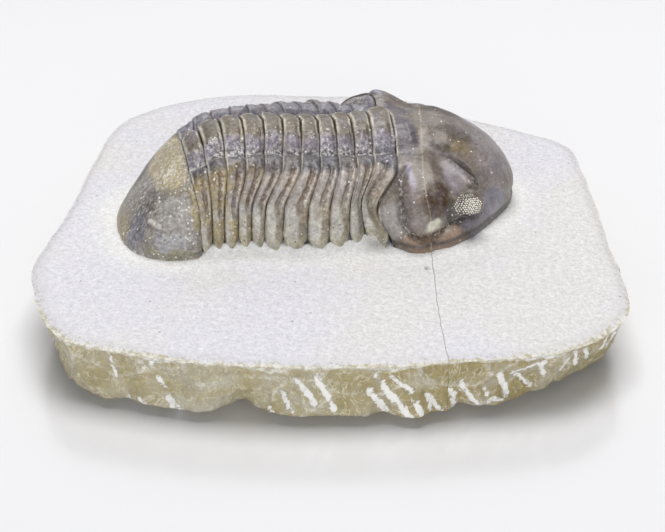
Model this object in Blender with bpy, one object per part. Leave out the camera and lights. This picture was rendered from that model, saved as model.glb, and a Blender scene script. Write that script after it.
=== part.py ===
# A phacopid trilobite, complete and back up, on the slab of limestone it was prepared on.
#
# World frame: metres, +Z up, the slab's flat underside on z = 0 and its middle at x = y = 0.
# The animal has a frame of its own, in millimetres: s runs along its axis from the tip of
# the tail to the front of the head, v is sideways from the axis, z is height above the slab.
#
# A phacopid's hard back is one head shield, eleven thoracic segments that slide over each
# other and one tail shield, so each of those is a solid of its own with a seam around it.

import math

import bmesh
import bpy
import numpy as np

MM = 0.001

# Slab
SLAB_THICKNESS = 9.2
SLAB_OUTLINE = [  # the top edge, counter-clockwise from the near left corner
    (-39.9, -14.1), (-39.0, -20.5), (-36.4, -28.9), (-32.0, -33.6), (-22.1, -36.9),
    (-9.5, -39.0), (2.9, -39.3), (15.4, -38.2), (28.0, -36.2), (34.7, -32.8),
    (39.0, -27.2), (39.9, -21.5), (39.1, -10.5), (38.7, 0.0), (37.6, 13.9),
    (36.4, 21.2), (30.3, 26.2), (20.5, 31.8), (11.5, 37.7), (-4.4, 39.3),
    (-17.2, 39.1), (-27.9, 33.9), (-33.1, 26.5), (-35.3, 12.6), (-37.0, 0.5),
]
SLAB_SAMPLES = 4  # points on the outline for each of those above
SLAB_UNDERCUT = [  # how far the foot is set in under each of those points
    2.6, 2.4, 3.2, 3.0, 1.5, 3.4, 2.0, 2.6, 5.4, 6.0, 4.8, 3.4, 2.4,
    2.2, 2.6, 3.0, 2.4, 2.8, 3.2, 2.2, 2.6, 3.0, 2.4, 2.8, 3.2,
]
# Going down the broken wall: height as a share of the thickness, share of the undercut
SLAB_WALL = [(0.93, 0.0), (0.62, 0.14), (0.33, 0.42), (0.10, 0.75), (0.0, 1.0)]
RIM = 0.5  # the worn rim, set in at the top
CHIP_DEPTH = 0.9  # the scallops left by knocking the edge off

# Where the animal lies
TAIL_AT = (-29.3, -4.4)
HEADING = math.radians(12.0)
SEAT = 0.3  # gap between the plates and the slab
SEAM = 0.3  # gap between one plate and the next

# Along the body: where each segment's ring crosses the axis, and where its tips end up
HEAD_JOINT = (39.3, 38.2)
RINGS_AT = [37.7, 34.9, 32.4, 30.1, 27.7, 25.2, 22.5, 19.9, 17.3, 14.5, 11.7]
TIPS_AT = [35.2, 32.6, 29.5, 26.7, 23.5, 20.6, 18.6, 16.6, 14.7, 12.9, 11.4]
TAIL_JOINT = (10.1, 10.4)
HEAD_FRONT = 56.9

# Across the body, at stations along the axis
BODY_WIDTH = [(9, 10.4), (13, 9.9), (19, 9.9), (24, 11.2), (29, 12.3), (34, 12.8),
              (38, 13.4), (42, 15.0)]
CREST = [(14, 15.1), (17, 15.3), (20, 15.2), (25, 14.6), (30, 14.0), (33, 13.9),
         (36, 14.2), (38.5, 14.5), (42, 14.4)]
PLATEAU = [(0, 1.0), (7, 0.97), (11, 0.92), (16, 0.89), (22, 0.88), (30, 0.87),
           (36, 0.83), (42, 0.80)]  # height of the side lobes as a share of the crest
RING_WIDTH = [(0, 2.5), (9, 4.4), (14, 5.0), (25, 5.3), (42, 5.6)]
SQUARENESS = [(0, 2.2), (8, 2.9), (14, 5.2), (42, 4.8)]  # exponent of the body's section
ROLL = [(0, 0.0), (12, 4.5), (34, 5.0), (39, 7.0), (44, 3.5), (52, 0.0)]  # degrees
SWEEP = [(0, 0), (0.26, 0.2), (0.43, 0.36), (0.68, 0.93), (1, 1)]  # lag from axis to tip

# Relief
RING_BULGE = 0.75
SIDE_BULGE = 0.3
TIP_BULGE = 0.9
RIB_FURROW = 0.5
AXIAL_FURROW = 0.45

# Head
HEAD_CENTRE = 43.0
HEAD_BOW = 2.6  # how far the head's rear margin bows back over the first segment
CHEEK_HEIGHT = [(36, 11.6), (42, 11.5), (45, 10.2), (48, 8.2), (52, 4.6), (56, 1.6)]
GLABELLA_WIDTH = [(42, 5.6), (46, 7.2), (50, 8.6), (53, 9.2), (57, 9.6)]
GLABELLA_CORE = [(41, 10.6), (46, 9.0), (50, 6.7), (53.5, 4.6), (57, 2.6)]
GLABELLA_RISE = [(41, 3.8), (46, 4.3), (50, 4.6), (57, 5.0)]
EYE_INNER = (44.7, 7.0, 9.7)
EYE_OUTER = (48.1, 10.7, 6.7)
EYE_RADIUS = 2.1
LENS_AT = (47.9, 11.5, 5.2)
LENS_RADII = (2.7, 1.7, 2.2)

# Resolution
SIDE_POINTS = 18  # from the crest to one foot
SEGMENT_ROWS = [0.0, 0.1, 0.3, 0.5, 0.7, 0.9, 1.0]

COLOURS = {
    "matrix": (0.80, 0.79, 0.82),
    "head": (0.22, 0.18, 0.16),
    "segment": (0.25, 0.22, 0.20),
    "tail": (0.30, 0.27, 0.22),
}


def through(points):
    """A smooth curve through (station, value) points that never overshoots them."""
    x, y = np.array(points, dtype=float).T
    rise = np.diff(y) / np.diff(x)
    slope = np.concatenate([rise[:1], np.zeros(len(x) - 2), rise[-1:]])
    for i in range(1, len(x) - 1):
        if rise[i - 1] * rise[i] > 0:
            slope[i] = 2 * rise[i - 1] * rise[i] / (rise[i - 1] + rise[i])

    def value(at):
        at = np.clip(at, x[0], x[-1])
        i = np.clip(np.searchsorted(x, at, "right") - 1, 0, len(x) - 2)
        span = x[i + 1] - x[i]
        t = (at - x[i]) / span
        rest = 1 - t
        return (
            y[i] * (1 + 2 * t) * rest**2
            + y[i + 1] * (3 - 2 * t) * t**2
            + slope[i] * span * t * rest**2
            - slope[i + 1] * span * rest * t**2
        )

    return value


def dome(share, power):
    """Height of a rounded end: 1 where share is 0, dropping upright to 0 where it is 1."""
    return (1 - np.clip(share, 0, 1) ** power) ** (1 / power)


def bump(offset, width):
    return np.exp(-((offset / width) ** 2))


def smooth_step(share):
    share = np.clip(share, 0, 1)
    return share * share * (3 - 2 * share)


body_width = through(BODY_WIDTH)
crest_line = through(CREST)
plateau = through(PLATEAU)
ring_width = through(RING_WIDTH)
squareness = through(SQUARENESS)
cheek_height = through(CHEEK_HEIGHT)
glabella_width = through(GLABELLA_WIDTH)
glabella_core = through(GLABELLA_CORE)
glabella_rise = through(GLABELLA_RISE)
roll = through(ROLL)
sweep_share = through(SWEEP)


def width_at(station):
    return np.where(station < 9, 10.4 * dome(1 - station / 9, 2.1), body_width(station))


def crest_at(station):
    return np.where(station < 14, 15.1 * dome(1 - station / 14, 1.36), crest_line(station))


def joints(ends, centres):
    """The boundary between each plate and the next, head first."""
    middles = [(a + b) / 2 for a, b in zip(centres, centres[1:])]
    return [ends[0], *middles, ends[1]]


RING_JOINTS = joints((HEAD_JOINT[0], TAIL_JOINT[0]), RINGS_AT)
TIP_JOINTS = joints((HEAD_JOINT[1], TAIL_JOINT[1]), TIPS_AT)


def swept(station, reach):
    """Where on s a point lies: the plates sweep back as they reach from axis to tip."""
    knots = [0.0, *reversed(RING_JOINTS), 46.0]
    tips = [0.0, *reversed(TIP_JOINTS), 46.0]
    lag = np.interp(station, knots, tips) - station
    head_bow = HEAD_BOW * bump(station - HEAD_JOINT[0], 3.0) * bump(reach - 0.72, 0.2)
    return station + lag * sweep_share(reach) - head_bow


def half_section(station):
    """Points (v, z) evenly spaced down the body's surface, from the crest to one foot."""
    turn = np.linspace(0, math.pi / 2, 400)
    power = 2 / squareness(station)
    width = width_at(station)
    side = crest_at(station) * plateau(station)
    v = width * np.sin(turn) ** power
    z = side * np.clip(np.cos(turn), 0, 1) ** power
    half_ring = ring_width(station)
    above = np.clip(crest_at(station) - side, 0, None)
    furrow = AXIAL_FURROW * smooth_step(above)
    z = z - furrow * bump(v - half_ring, 0.8) + above * dome(v / half_ring, 2.3)
    run = np.concatenate([[0.0], np.cumsum(np.hypot(np.diff(v), np.diff(z)))])
    even = np.linspace(0, run[-1], SIDE_POINTS + 1)
    return np.interp(even, run, v), np.interp(even, run, z)


def relief(across, reach, v, half_ring):
    """How far a segment's surface is pressed in; across runs 0 to 1, front to rear."""
    edge = np.abs(2 * across - 1)
    on_ring = 1 - smooth_step((v - half_ring + 0.6) / 0.8)
    on_tip = smooth_step((reach - 0.62) / 0.2)
    pressed = on_ring * RING_BULGE * edge**3
    pressed += (1 - on_ring) * (1 - on_tip) * SIDE_BULGE * edge**4
    pressed += on_tip * TIP_BULGE * edge**3
    rib = smooth_step((reach - 0.3) / 0.1) * (1 - smooth_step((reach - 0.66) / 0.15))
    return pressed + RIB_FURROW * rib * bump(across - 0.45, 0.16)


def body_row(station, across, shift):
    """One row of points over the back, from the left foot to the right one."""
    v, z = half_section(station)
    reach = np.linspace(0, 1, SIDE_POINTS + 1)
    s = swept(station, reach) + shift
    slope_v, slope_z = np.gradient(v), np.gradient(z)
    length = np.hypot(slope_v, slope_z)
    pressed = relief(across, reach, v, ring_width(station)) * smooth_step(z / 0.8)
    v = v + pressed * slope_z / length
    z = z - pressed * slope_v / length
    right = np.stack([s, -v, z], axis=1)
    left = right[:0:-1] * (1, -1, 1)
    return np.concatenate([left, right])


def settle(rows):
    """Leans the back over by the roll, with the feet left down, and lifts it off the slab."""
    rows = np.array(rows)
    s, v, z = rows[..., 0], rows[..., 1], rows[..., 2]
    lean = v * np.tan(np.radians(roll(s))) * smooth_step(z / 11)
    rows[..., 2] = SEAT + (z + lean) * (1 - SEAT / 15)
    return rows


def to_world(rows):
    """From the animal's own frame to world metres."""
    rows = settle(rows)
    s, v, z = rows[..., 0], rows[..., 1], rows[..., 2]
    x = TAIL_AT[0] + s * math.cos(HEADING) - v * math.sin(HEADING)
    y = TAIL_AT[1] + s * math.sin(HEADING) + v * math.cos(HEADING)
    return np.stack([x, y, z + SLAB_THICKNESS], axis=-1) * MM


def material(name, colour, roughness):
    made = bpy.data.materials.new(name)
    made.use_nodes = True
    shader = made.node_tree.nodes["Principled BSDF"]
    shader.inputs["Base Color"].default_value = (*colour, 1)
    shader.inputs["Roughness"].default_value = roughness
    shader.inputs["Metallic"].default_value = 0.0
    return made


def add_object(name, mesh, finish):
    made = bpy.data.objects.new(name, mesh)
    made.data.materials.append(finish)
    bpy.context.scene.collection.objects.link(made)
    mesh.shade_smooth()
    mesh.set_sharp_from_angle(angle=math.radians(40))
    return made


def hub(station, shift):
    """The middle of a plate's end face: an end face is a fan from here to its rim."""
    return (float(swept(station, 0.55)) + shift, 0.0, 5.0)


def plate(name, rows, hubs, finish):
    """A closed solid under rows that each run from the left foot to the right foot."""
    rows = to_world(rows)
    count = rows.shape[1]
    shape = bmesh.new()
    grid = [[shape.verts.new(point) for point in row] for row in rows]
    for row, following in zip(grid, grid[1:]):
        for j in range(count - 1):
            shape.faces.new((row[j], row[j + 1], following[j + 1], following[j]))
        shape.faces.new((row[0], following[0], following[-1], row[-1]))
    for row, point in zip((grid[0], grid[-1]), to_world([hubs])[0]):
        middle = shape.verts.new(point)
        for j in range(count):
            shape.faces.new((row[j - 1], row[j], middle))
    bmesh.ops.recalc_face_normals(shape, faces=shape.faces)
    bmesh.ops.triangulate(shape, faces=shape.faces)
    mesh = bpy.data.meshes.new(name)
    shape.to_mesh(mesh)
    shape.free()
    return add_object(name, mesh, finish)


def make_segment(number, finish):
    """Thoracic segments count back from the head, as palaeontologists count them."""
    front, rear = number - 1, number
    length = RING_JOINTS[front] - RING_JOINTS[rear]
    tip_middle = TIPS_AT[number - 1]
    rows = []
    for across in SEGMENT_ROWS:
        station = RING_JOINTS[front] - across * length
        row = body_row(station, across, SEAM * (across - 0.5))
        reach = np.abs(np.linspace(-1, 1, len(row)))
        narrowing = 1 - dome((reach - 0.8) / 0.24, 2)
        row[:, 0] += (tip_middle - row[:, 0]) * narrowing
        rows.append(row)
    hubs = [hub(RING_JOINTS[front], -SEAM / 2), hub(RING_JOINTS[rear], SEAM / 2)]
    return plate(f"thoracic_segment_{number:02d}", rows, hubs, finish)


def make_tail(finish):
    rows = []
    first = TAIL_JOINT[0]
    for turn in np.linspace(0, math.pi / 2 * 0.93, 12):
        station = first * (1 - math.sin(turn))
        across = 0.5 - 0.5 * math.exp(-(first - station) / 0.5)
        rows.append(body_row(station, across, -SEAM / 2))
    hubs = [hub(first, -SEAM / 2), rows[-1].mean(axis=0)]
    return plate("pygidium", rows, hubs, finish)


def lobe(a, b, power):
    return (a**power + b**power) ** (1 / power)


def meet(one, other, furrow, width):
    """Two lobes joined, with a furrow along the line where they meet."""
    return np.minimum(one, other) + furrow * bump(one - other, width)


def head_field(s, v, z):
    """Below zero inside the head shield, above zero outside it, in about millimetres."""
    v = np.abs(v)
    ahead = np.clip(s - 42, 0, None) / (HEAD_FRONT - 0.5 - 42)
    outline = lobe(v / width_at(np.clip(s, 36, 42)), ahead, 1.65)
    cheeks = (lobe(outline, z / cheek_height(s), 3.2) - 1) * 9

    core = glabella_core(s)
    round_about = lobe(v / glabella_width(s), np.abs(z - core) / glabella_rise(s), 2.3)
    nose = np.clip(s - 46, 0, None) / (HEAD_FRONT + 0.2 - 46)
    glabella = (lobe(round_about, nose, 2.3) - 1) * 5
    glabella = glabella + 0.9 * bump(s - 42.5, 0.8)

    along = np.subtract(EYE_OUTER, EYE_INNER)
    place = np.stack([s, v, z], axis=-1) - EYE_INNER
    share = np.clip(place @ along / (along @ along), 0, 1)[..., None]
    ridge = np.linalg.norm(place - share * along, axis=-1) - EYE_RADIUS
    lens = np.stack([s, v, z], axis=-1) - LENS_AT
    lens = (np.linalg.norm(lens / LENS_RADII, axis=-1) - 1) * min(LENS_RADII)
    eye = np.minimum(ridge, lens)

    head = meet(cheeks, glabella, 0.5 * (1 - smooth_step((s - 49) / 4)), 0.8)
    head = meet(head, eye, 0.35, 0.6)
    ahead_of_joint = s - swept(HEAD_JOINT[0], 0.5 * np.clip(v / 8, 0, 1.4))
    rear_furrow = 0.8 * bump(ahead_of_joint - 3.2, 0.8) * smooth_step((v - 5.5) / 1.5)
    rim_furrow = 0.45 * bump(z - 2.6, 0.8) * smooth_step((v - 6) / 3)
    return head + rear_furrow + rim_furrow


def surface_along(start, direction):
    """Distance along each ray to the outermost surface of the head."""

    def outside(distance):
        point = start + direction * distance[..., None]
        return head_field(point[..., 0], point[..., 1], point[..., 2]) > 0

    high = np.full(direction.shape[:-1], 24.0)
    searching = np.ones(high.shape, dtype=bool)
    for _ in range(90):
        searching &= outside(high - 0.25)
        high = np.where(searching, high - 0.25, high)
    low = high - 0.25
    for _ in range(14):
        middle = (low + high) / 2
        out = outside(middle)
        high = np.where(out, middle, high)
        low = np.where(out, low, middle)
    return high


def make_head(finish):
    """Rows cross the head from foot to foot, upright at the rear, then leaning forward."""
    first = body_row(HEAD_JOINT[0], 0.0, SEAM / 2)
    spin = np.arctan2(first[:, 1], first[:, 2])
    spin[[0, -1]] = math.pi / 2, -math.pi / 2
    sweep = first[:, 0] - HEAD_JOINT[0]
    rows = [first]
    for share in np.linspace(0, 1, 7)[1:]:
        start = np.zeros((len(spin), 3))
        start[:, 0] = HEAD_JOINT[0] + (HEAD_CENTRE - HEAD_JOINT[0]) * share + sweep * (1 - share)
        direction = np.stack([spin * 0, np.sin(spin), np.cos(spin)], axis=1)
        rows.append(start + direction * surface_along(start, direction)[:, None])
    for lean in np.radians(np.linspace(0, 85, 15)[1:]):
        start = np.tile((HEAD_CENTRE, 0.0, 0.0), (len(spin), 1))
        flat = math.cos(lean)
        direction = np.stack(
            [spin * 0 + math.sin(lean), np.sin(spin) * flat, np.cos(spin) * flat], axis=1
        )
        rows.append(start + direction * surface_along(start, direction)[:, None])
    hubs = [hub(HEAD_JOINT[0], SEAM / 2), rows[-1].mean(axis=0)]
    return plate("cephalon", rows, hubs, finish)


def round_through(points):
    """A closed smooth curve through points, as rows of samples."""
    corners = np.array(points)
    before, after = np.roll(corners, 1, axis=0), np.roll(corners, -1, axis=0)
    pull = (after - before) / 2
    samples = []
    for step in range(SLAB_SAMPLES):
        t = step / SLAB_SAMPLES
        samples.append(
            corners * (2 * t**3 - 3 * t**2 + 1)
            + pull * (t**3 - 2 * t**2 + t)
            + after * (3 * t**2 - 2 * t**3)
            + np.roll(pull, -1, axis=0) * (t**3 - t**2)
        )
    return np.stack(samples, axis=1).reshape(-1, corners.shape[1])


def make_slab(finish):
    rim = [(*point, undercut) for point, undercut in zip(SLAB_OUTLINE, SLAB_UNDERCUT)]
    outline, undercut = np.split(round_through(rim), [2], axis=1)
    count = len(outline)
    ahead, behind = np.roll(outline, -1, axis=0), np.roll(outline, 1, axis=0)
    along = ahead - behind
    inward = np.stack([-along[:, 1], along[:, 0]], axis=1)
    inward /= np.linalg.norm(inward, axis=1)[:, None]
    walk = np.arange(count)
    chips = np.abs(np.sin(walk * 0.83 + 0.6 * np.sin(walk * 0.31))) ** 1.5
    shape = bmesh.new()
    levels = [(1.0, outline + inward * RIM)]
    for height, share in SLAB_WALL:
        scallop = CHIP_DEPTH * chips * math.sin(math.pi * min((1 - height) * 1.4, 1)) ** 0.7
        levels.append((height, outline + inward * (undercut * share + scallop[:, None])))
    rings = []
    for height, ring in levels:
        z = SLAB_THICKNESS * height
        rings.append([shape.verts.new((x * MM, y * MM, z * MM)) for x, y in ring])
    for ring, below in zip(rings, rings[1:]):
        for i in range(count):
            j = (i + 1) % count
            shape.faces.new((ring[i], below[i], below[j], ring[j]))
    shape.faces.new(rings[0])
    shape.faces.new(rings[-1])
    bmesh.ops.recalc_face_normals(shape, faces=shape.faces)
    bmesh.ops.triangulate(shape, faces=shape.faces)
    mesh = bpy.data.meshes.new("matrix_slab")
    shape.to_mesh(mesh)
    shape.free()
    return add_object("matrix_slab", mesh, finish)


def main():
    for old in list(bpy.data.objects):
        bpy.data.objects.remove(old)
    make_slab(material("matrix", COLOURS["matrix"], 0.9))
    make_head(material("head", COLOURS["head"], 0.35))
    segment = material("segment", COLOURS["segment"], 0.35)
    for number in range(1, len(RINGS_AT) + 1):
        make_segment(number, segment)
    make_tail(material("tail", COLOURS["tail"], 0.35))


main()
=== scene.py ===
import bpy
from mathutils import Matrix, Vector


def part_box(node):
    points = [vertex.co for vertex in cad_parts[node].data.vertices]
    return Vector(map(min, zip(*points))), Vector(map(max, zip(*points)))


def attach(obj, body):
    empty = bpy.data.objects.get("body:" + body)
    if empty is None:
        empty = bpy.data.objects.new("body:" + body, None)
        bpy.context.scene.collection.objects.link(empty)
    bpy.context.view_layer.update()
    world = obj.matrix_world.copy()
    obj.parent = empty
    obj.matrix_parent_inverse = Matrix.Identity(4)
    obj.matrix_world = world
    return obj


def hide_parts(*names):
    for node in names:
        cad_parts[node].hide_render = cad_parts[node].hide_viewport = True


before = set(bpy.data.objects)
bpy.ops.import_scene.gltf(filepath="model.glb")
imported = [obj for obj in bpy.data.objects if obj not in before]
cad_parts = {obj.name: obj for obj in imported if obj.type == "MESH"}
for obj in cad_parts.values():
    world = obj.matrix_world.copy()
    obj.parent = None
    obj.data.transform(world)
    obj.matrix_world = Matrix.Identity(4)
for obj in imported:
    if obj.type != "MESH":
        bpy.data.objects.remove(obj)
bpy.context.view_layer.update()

import math

import bpy
import numpy as np
from mathutils import Vector
from mathutils.bvhtree import BVHTree

# A phacopid trilobite on its slab of limestone. Shapes are worked out in millimetres.
# The animal has a frame of its own: s along its axis from the tail tip to the front of the
# head, v out to the side, z up from the top of the slab.
mm = 0.001
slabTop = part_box("matrix_slab")[1].z / mm


# ---------- small helpers

def deselectAll():
    for thing in list(bpy.context.selected_objects):
        thing.select_set(False)


def makeActive(piece):
    deselectAll()
    piece.select_set(True)
    bpy.context.view_layer.objects.active = piece


def fromHex(text):
    # screen colour to the linear values a shader wants
    parts = np.array([int(text[i:i + 2], 16) / 255 for i in (1, 3, 5)])
    return np.where(parts <= 0.04045, parts / 12.92, ((parts + 0.055) / 1.055) ** 2.4)


def through(points):
    # smooth curve through (place, value) points that never overshoots them
    x, y = np.array(points, dtype=float).T
    rise = np.diff(y) / np.diff(x)
    slope = np.concatenate([rise[:1], np.zeros(len(x) - 2), rise[-1:]])
    for i in range(1, len(x) - 1):
        if rise[i - 1] * rise[i] > 0:
            slope[i] = 2 * rise[i - 1] * rise[i] / (rise[i - 1] + rise[i])

    def value(at):
        at = np.clip(at, x[0], x[-1])
        i = np.clip(np.searchsorted(x, at, "right") - 1, 0, len(x) - 2)
        span = x[i + 1] - x[i]
        t = (at - x[i]) / span
        rest = 1 - t
        return (
            y[i] * (1 + 2 * t) * rest**2
            + y[i + 1] * (3 - 2 * t) * t**2
            + slope[i] * span * t * rest**2
            - slope[i + 1] * span * rest * t**2
        )

    return value


def clamp(value):
    return np.clip(value, 0, 1)


def dome(share, power):
    return (1 - clamp(share) ** power) ** (1 / power)


def awayFrom(points, centre):
    return np.linalg.norm(points - centre, axis=-1)


def bump(offset, width):
    return np.exp(-((offset / width) ** 2))


def ease(share):
    # from 0 to 1 with soft ends
    share = clamp(share)
    return share * share * (3 - 2 * share)


def roundedLeast(corner, *values):
    # the least of some distances, with the corners between them rounded off
    short = [np.clip(corner - value, 0, None) ** 2 for value in values]
    return corner - np.sqrt(sum(short))


def blend(one, other, share):
    return one + (other - one) * clamp(share)[..., None]


def cornerValue(x, y, z, seed):
    mixed = (x * 374761393 + y * 668265263 + z * 2147483647 + seed * 1274126177) & 0xFFFFFFFF
    mixed = ((mixed ^ (mixed >> 13)) * 1274126177) & 0xFFFFFFFF
    return ((mixed ^ (mixed >> 16)) & 0xFFFF) / 32767.5 - 1


def lumps(points, size, seed, octaves=1):
    # smooth noise between -1 and 1; size is the width of one lump
    total = np.zeros(points.shape[:-1])
    strength, most = 1.0, 0.0
    for octave in range(octaves):
        place = points / size + 40.5
        base = np.floor(place)
        part = place - base
        part = part * part * part * (part * (part * 6 - 15) + 10)
        base = base.astype(np.int64)
        for corner in range(8):
            step = np.array([corner & 1, corner >> 1 & 1, corner >> 2])
            weight = np.prod(np.where(step == 1, part, 1 - part), axis=-1)
            at = base + step
            value = cornerValue(at[..., 0], at[..., 1], at[..., 2], seed + octave)
            total += strength * weight * value
        most += strength
        strength *= 0.5
        size /= 2
    return total / most


def gridNormals(rows, centre):
    normals = np.cross(np.gradient(rows, axis=0), np.gradient(rows, axis=1))
    normals /= np.linalg.norm(normals, axis=-1)[..., None] + 1e-12
    outward = np.sum((rows - centre) * normals)
    return normals if outward > 0 else -normals


def addGrid(name, rows):
    # a flat grid, then every point of it carried to its place
    deselectAll()
    down, along = rows.shape[:2]
    bpy.ops.mesh.primitive_grid_add(x_subdivisions=along - 1, y_subdivisions=down - 1, size=0.05)
    piece = bpy.context.active_object
    piece.name = name
    piece.data.name = name
    piece.data.vertices.foreach_set("co", rows.reshape(-1))
    piece.data.update()
    return piece


def storeNumbers(piece, **layers):
    # one number at each point for the materials, under each name
    for name, values in layers.items():
        numbers = np.zeros(len(piece.data.vertices), dtype=np.float32)
        numbers[:] = np.reshape(values, -1)
        piece.data.attributes.new(name, "FLOAT", "POINT").data.foreach_set("value", numbers)


noCrack = 9.0  # stored where no break is near, mm


def storeShades(piece, flecksAndGlints, crack, **shades):
    shades = {name + "Shade": clamp(values) for name, values in shades.items()}
    storeNumbers(piece, fleckShare=flecksAndGlints, crackAway=crack, **shades)


def storeColours(piece, name, colours):
    layer = piece.data.color_attributes.new(name, "FLOAT_COLOR", "POINT")
    full = np.ones((len(piece.data.vertices), 4), dtype=np.float32)
    full[:, :3] = clamp(colours).reshape(-1, 3)
    layer.data.foreach_set("color", full.reshape(-1))


def editOpenEdge(piece):
    makeActive(piece)
    bpy.ops.object.mode_set(mode="EDIT")
    bpy.ops.mesh.select_mode(type="EDGE")
    bpy.ops.mesh.select_all(action="DESELECT")
    bpy.ops.mesh.select_non_manifold()


def endEditing():
    bpy.ops.mesh.select_all(action="SELECT")
    bpy.ops.mesh.normals_make_consistent(inside=False)
    bpy.ops.mesh.select_all(action="DESELECT")
    bpy.ops.object.mode_set(mode="OBJECT")


def closeUnder(piece, s, z):
    # the open edge is extruded to one point inside, which closes the ends and the underside
    editOpenEdge(piece)
    bpy.ops.mesh.extrude_edges_move()
    bpy.ops.transform.resize(value=(0, 0, 0), center_override=tuple(pointInWorld(s, 0.0, z)))
    bpy.ops.mesh.remove_doubles(threshold=1e-7)
    endEditing()
    bpy.ops.object.shade_smooth_by_angle(angle=math.radians(50))


def finishPiece(piece, finish, slotName, *nodes):
    piece.data.materials.clear()
    piece.data.materials.append(finish)
    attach(piece, "root")
    if nodes:
        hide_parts(*nodes)


# ---------- materials

def newMaterial(name):
    # the nodes that are added next go into this material's tree
    global tree
    finish = bpy.data.materials.new(name)
    finish.use_nodes = True
    tree = finish.node_tree
    return finish, tree.nodes["Principled BSDF"]


def addNode(kind, inputs, **settings):
    node = tree.nodes.new(kind)
    for name, value in settings.items():
        setattr(node, name, value)
    for name, value in inputs.items():
        if isinstance(value, bpy.types.NodeSocket):
            tree.links.new(value, node.inputs[name])
        else:
            node.inputs[name].default_value = value
    return node


def noiseOn(place, scale, detail=3.0, rough=0.5, distortion=0.0):
    inputs = {"Vector": place, "Scale": scale, "Detail": detail, "Roughness": rough, "Distortion": distortion}
    return addNode("ShaderNodeTexNoise", inputs).outputs["Fac"]


def stretch(place, low, high, start=0.0, end=1.0):
    inputs = {"Value": place, "From Min": low, "From Max": high, "To Min": start, "To Max": end}
    return addNode("ShaderNodeMapRange", inputs, clamp=True).outputs["Result"]


def maths(operation, one, other=0.0):
    return addNode("ShaderNodeMath", {0: one, 1: other}, operation=operation).outputs[0]


def times(one, other):
    return maths("MULTIPLY", one, other)


def plus(one, other):
    return maths("ADD", one, other)


def mixColours(share, one, other, way="MIX"):
    inputs = {0: share, 6: one, 7: other}
    return addNode("ShaderNodeMix", inputs, data_type="RGBA", blend_type=way).outputs[2]


def shade(colour, tone):
    grey = addNode("ShaderNodeCombineColor", {0: tone, 1: tone, 2: tone}).outputs[0]
    return mixColours(1.0, colour, grey, "MULTIPLY")


def rgb(text):
    return (*fromHex(text), 1.0)


def finishShader(shader, colour, roughness, height, distance):
    relief = addNode("ShaderNodeBump", {"Height": height, "Strength": 0.8, "Distance": distance})
    for name, value in {"Base Color": colour, "Roughness": roughness, "Normal": relief.outputs["Normal"]}.items():
        tree.links.new(value, shader.inputs[name])


def attribute(name, output="Fac"):
    return addNode("ShaderNodeAttribute", {}, attribute_name=name).outputs[output]


def fleckMask(place, scale, size, share, ragged=0.0):
    # grains in a few of the cells: size is a share of the cell
    cells = addNode("ShaderNodeTexVoronoi", {"Vector": place, "Scale": scale, "Randomness": 1.0})
    chosen = addNode("ShaderNodeSeparateColor", {"Color": cells.outputs["Color"]}).outputs[0]
    chosen = maths("LESS_THAN", chosen, share)
    away = plus(cells.outputs["Distance"], ragged)
    near = stretch(away, size, size * 0.6)
    return times(chosen, near)


shellLook = {
    "mottle": 0.6,  # how strongly the stone is clouded
    "grain": 0.85,  # and how strongly its fine grain shows
    "patchScale": 620,
    # pale flecks: crystal grains, partly painted glints
    "flecksAndGlints": 0.9,
    "roughness": 0.33,
    "warm": "#8A7458",
    "cool": "#8F8AA0",
    # colour of the painted shade in furrows, seams and gaps
    "paintedShade": "#3A342F",
    "pale": "#F0EDEA",
    "rust": "#6A4A2C",
    "rim": "#DDD6C6",
    "pit": "#2B2621",
    "glue": "#C9BF9E",
    "refraction": 1.52,
    "polish": 0.22,
    "polishRoughness": 0.22,
    "relief": 0.00016,  # how deep its grain is, in metres
}


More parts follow.
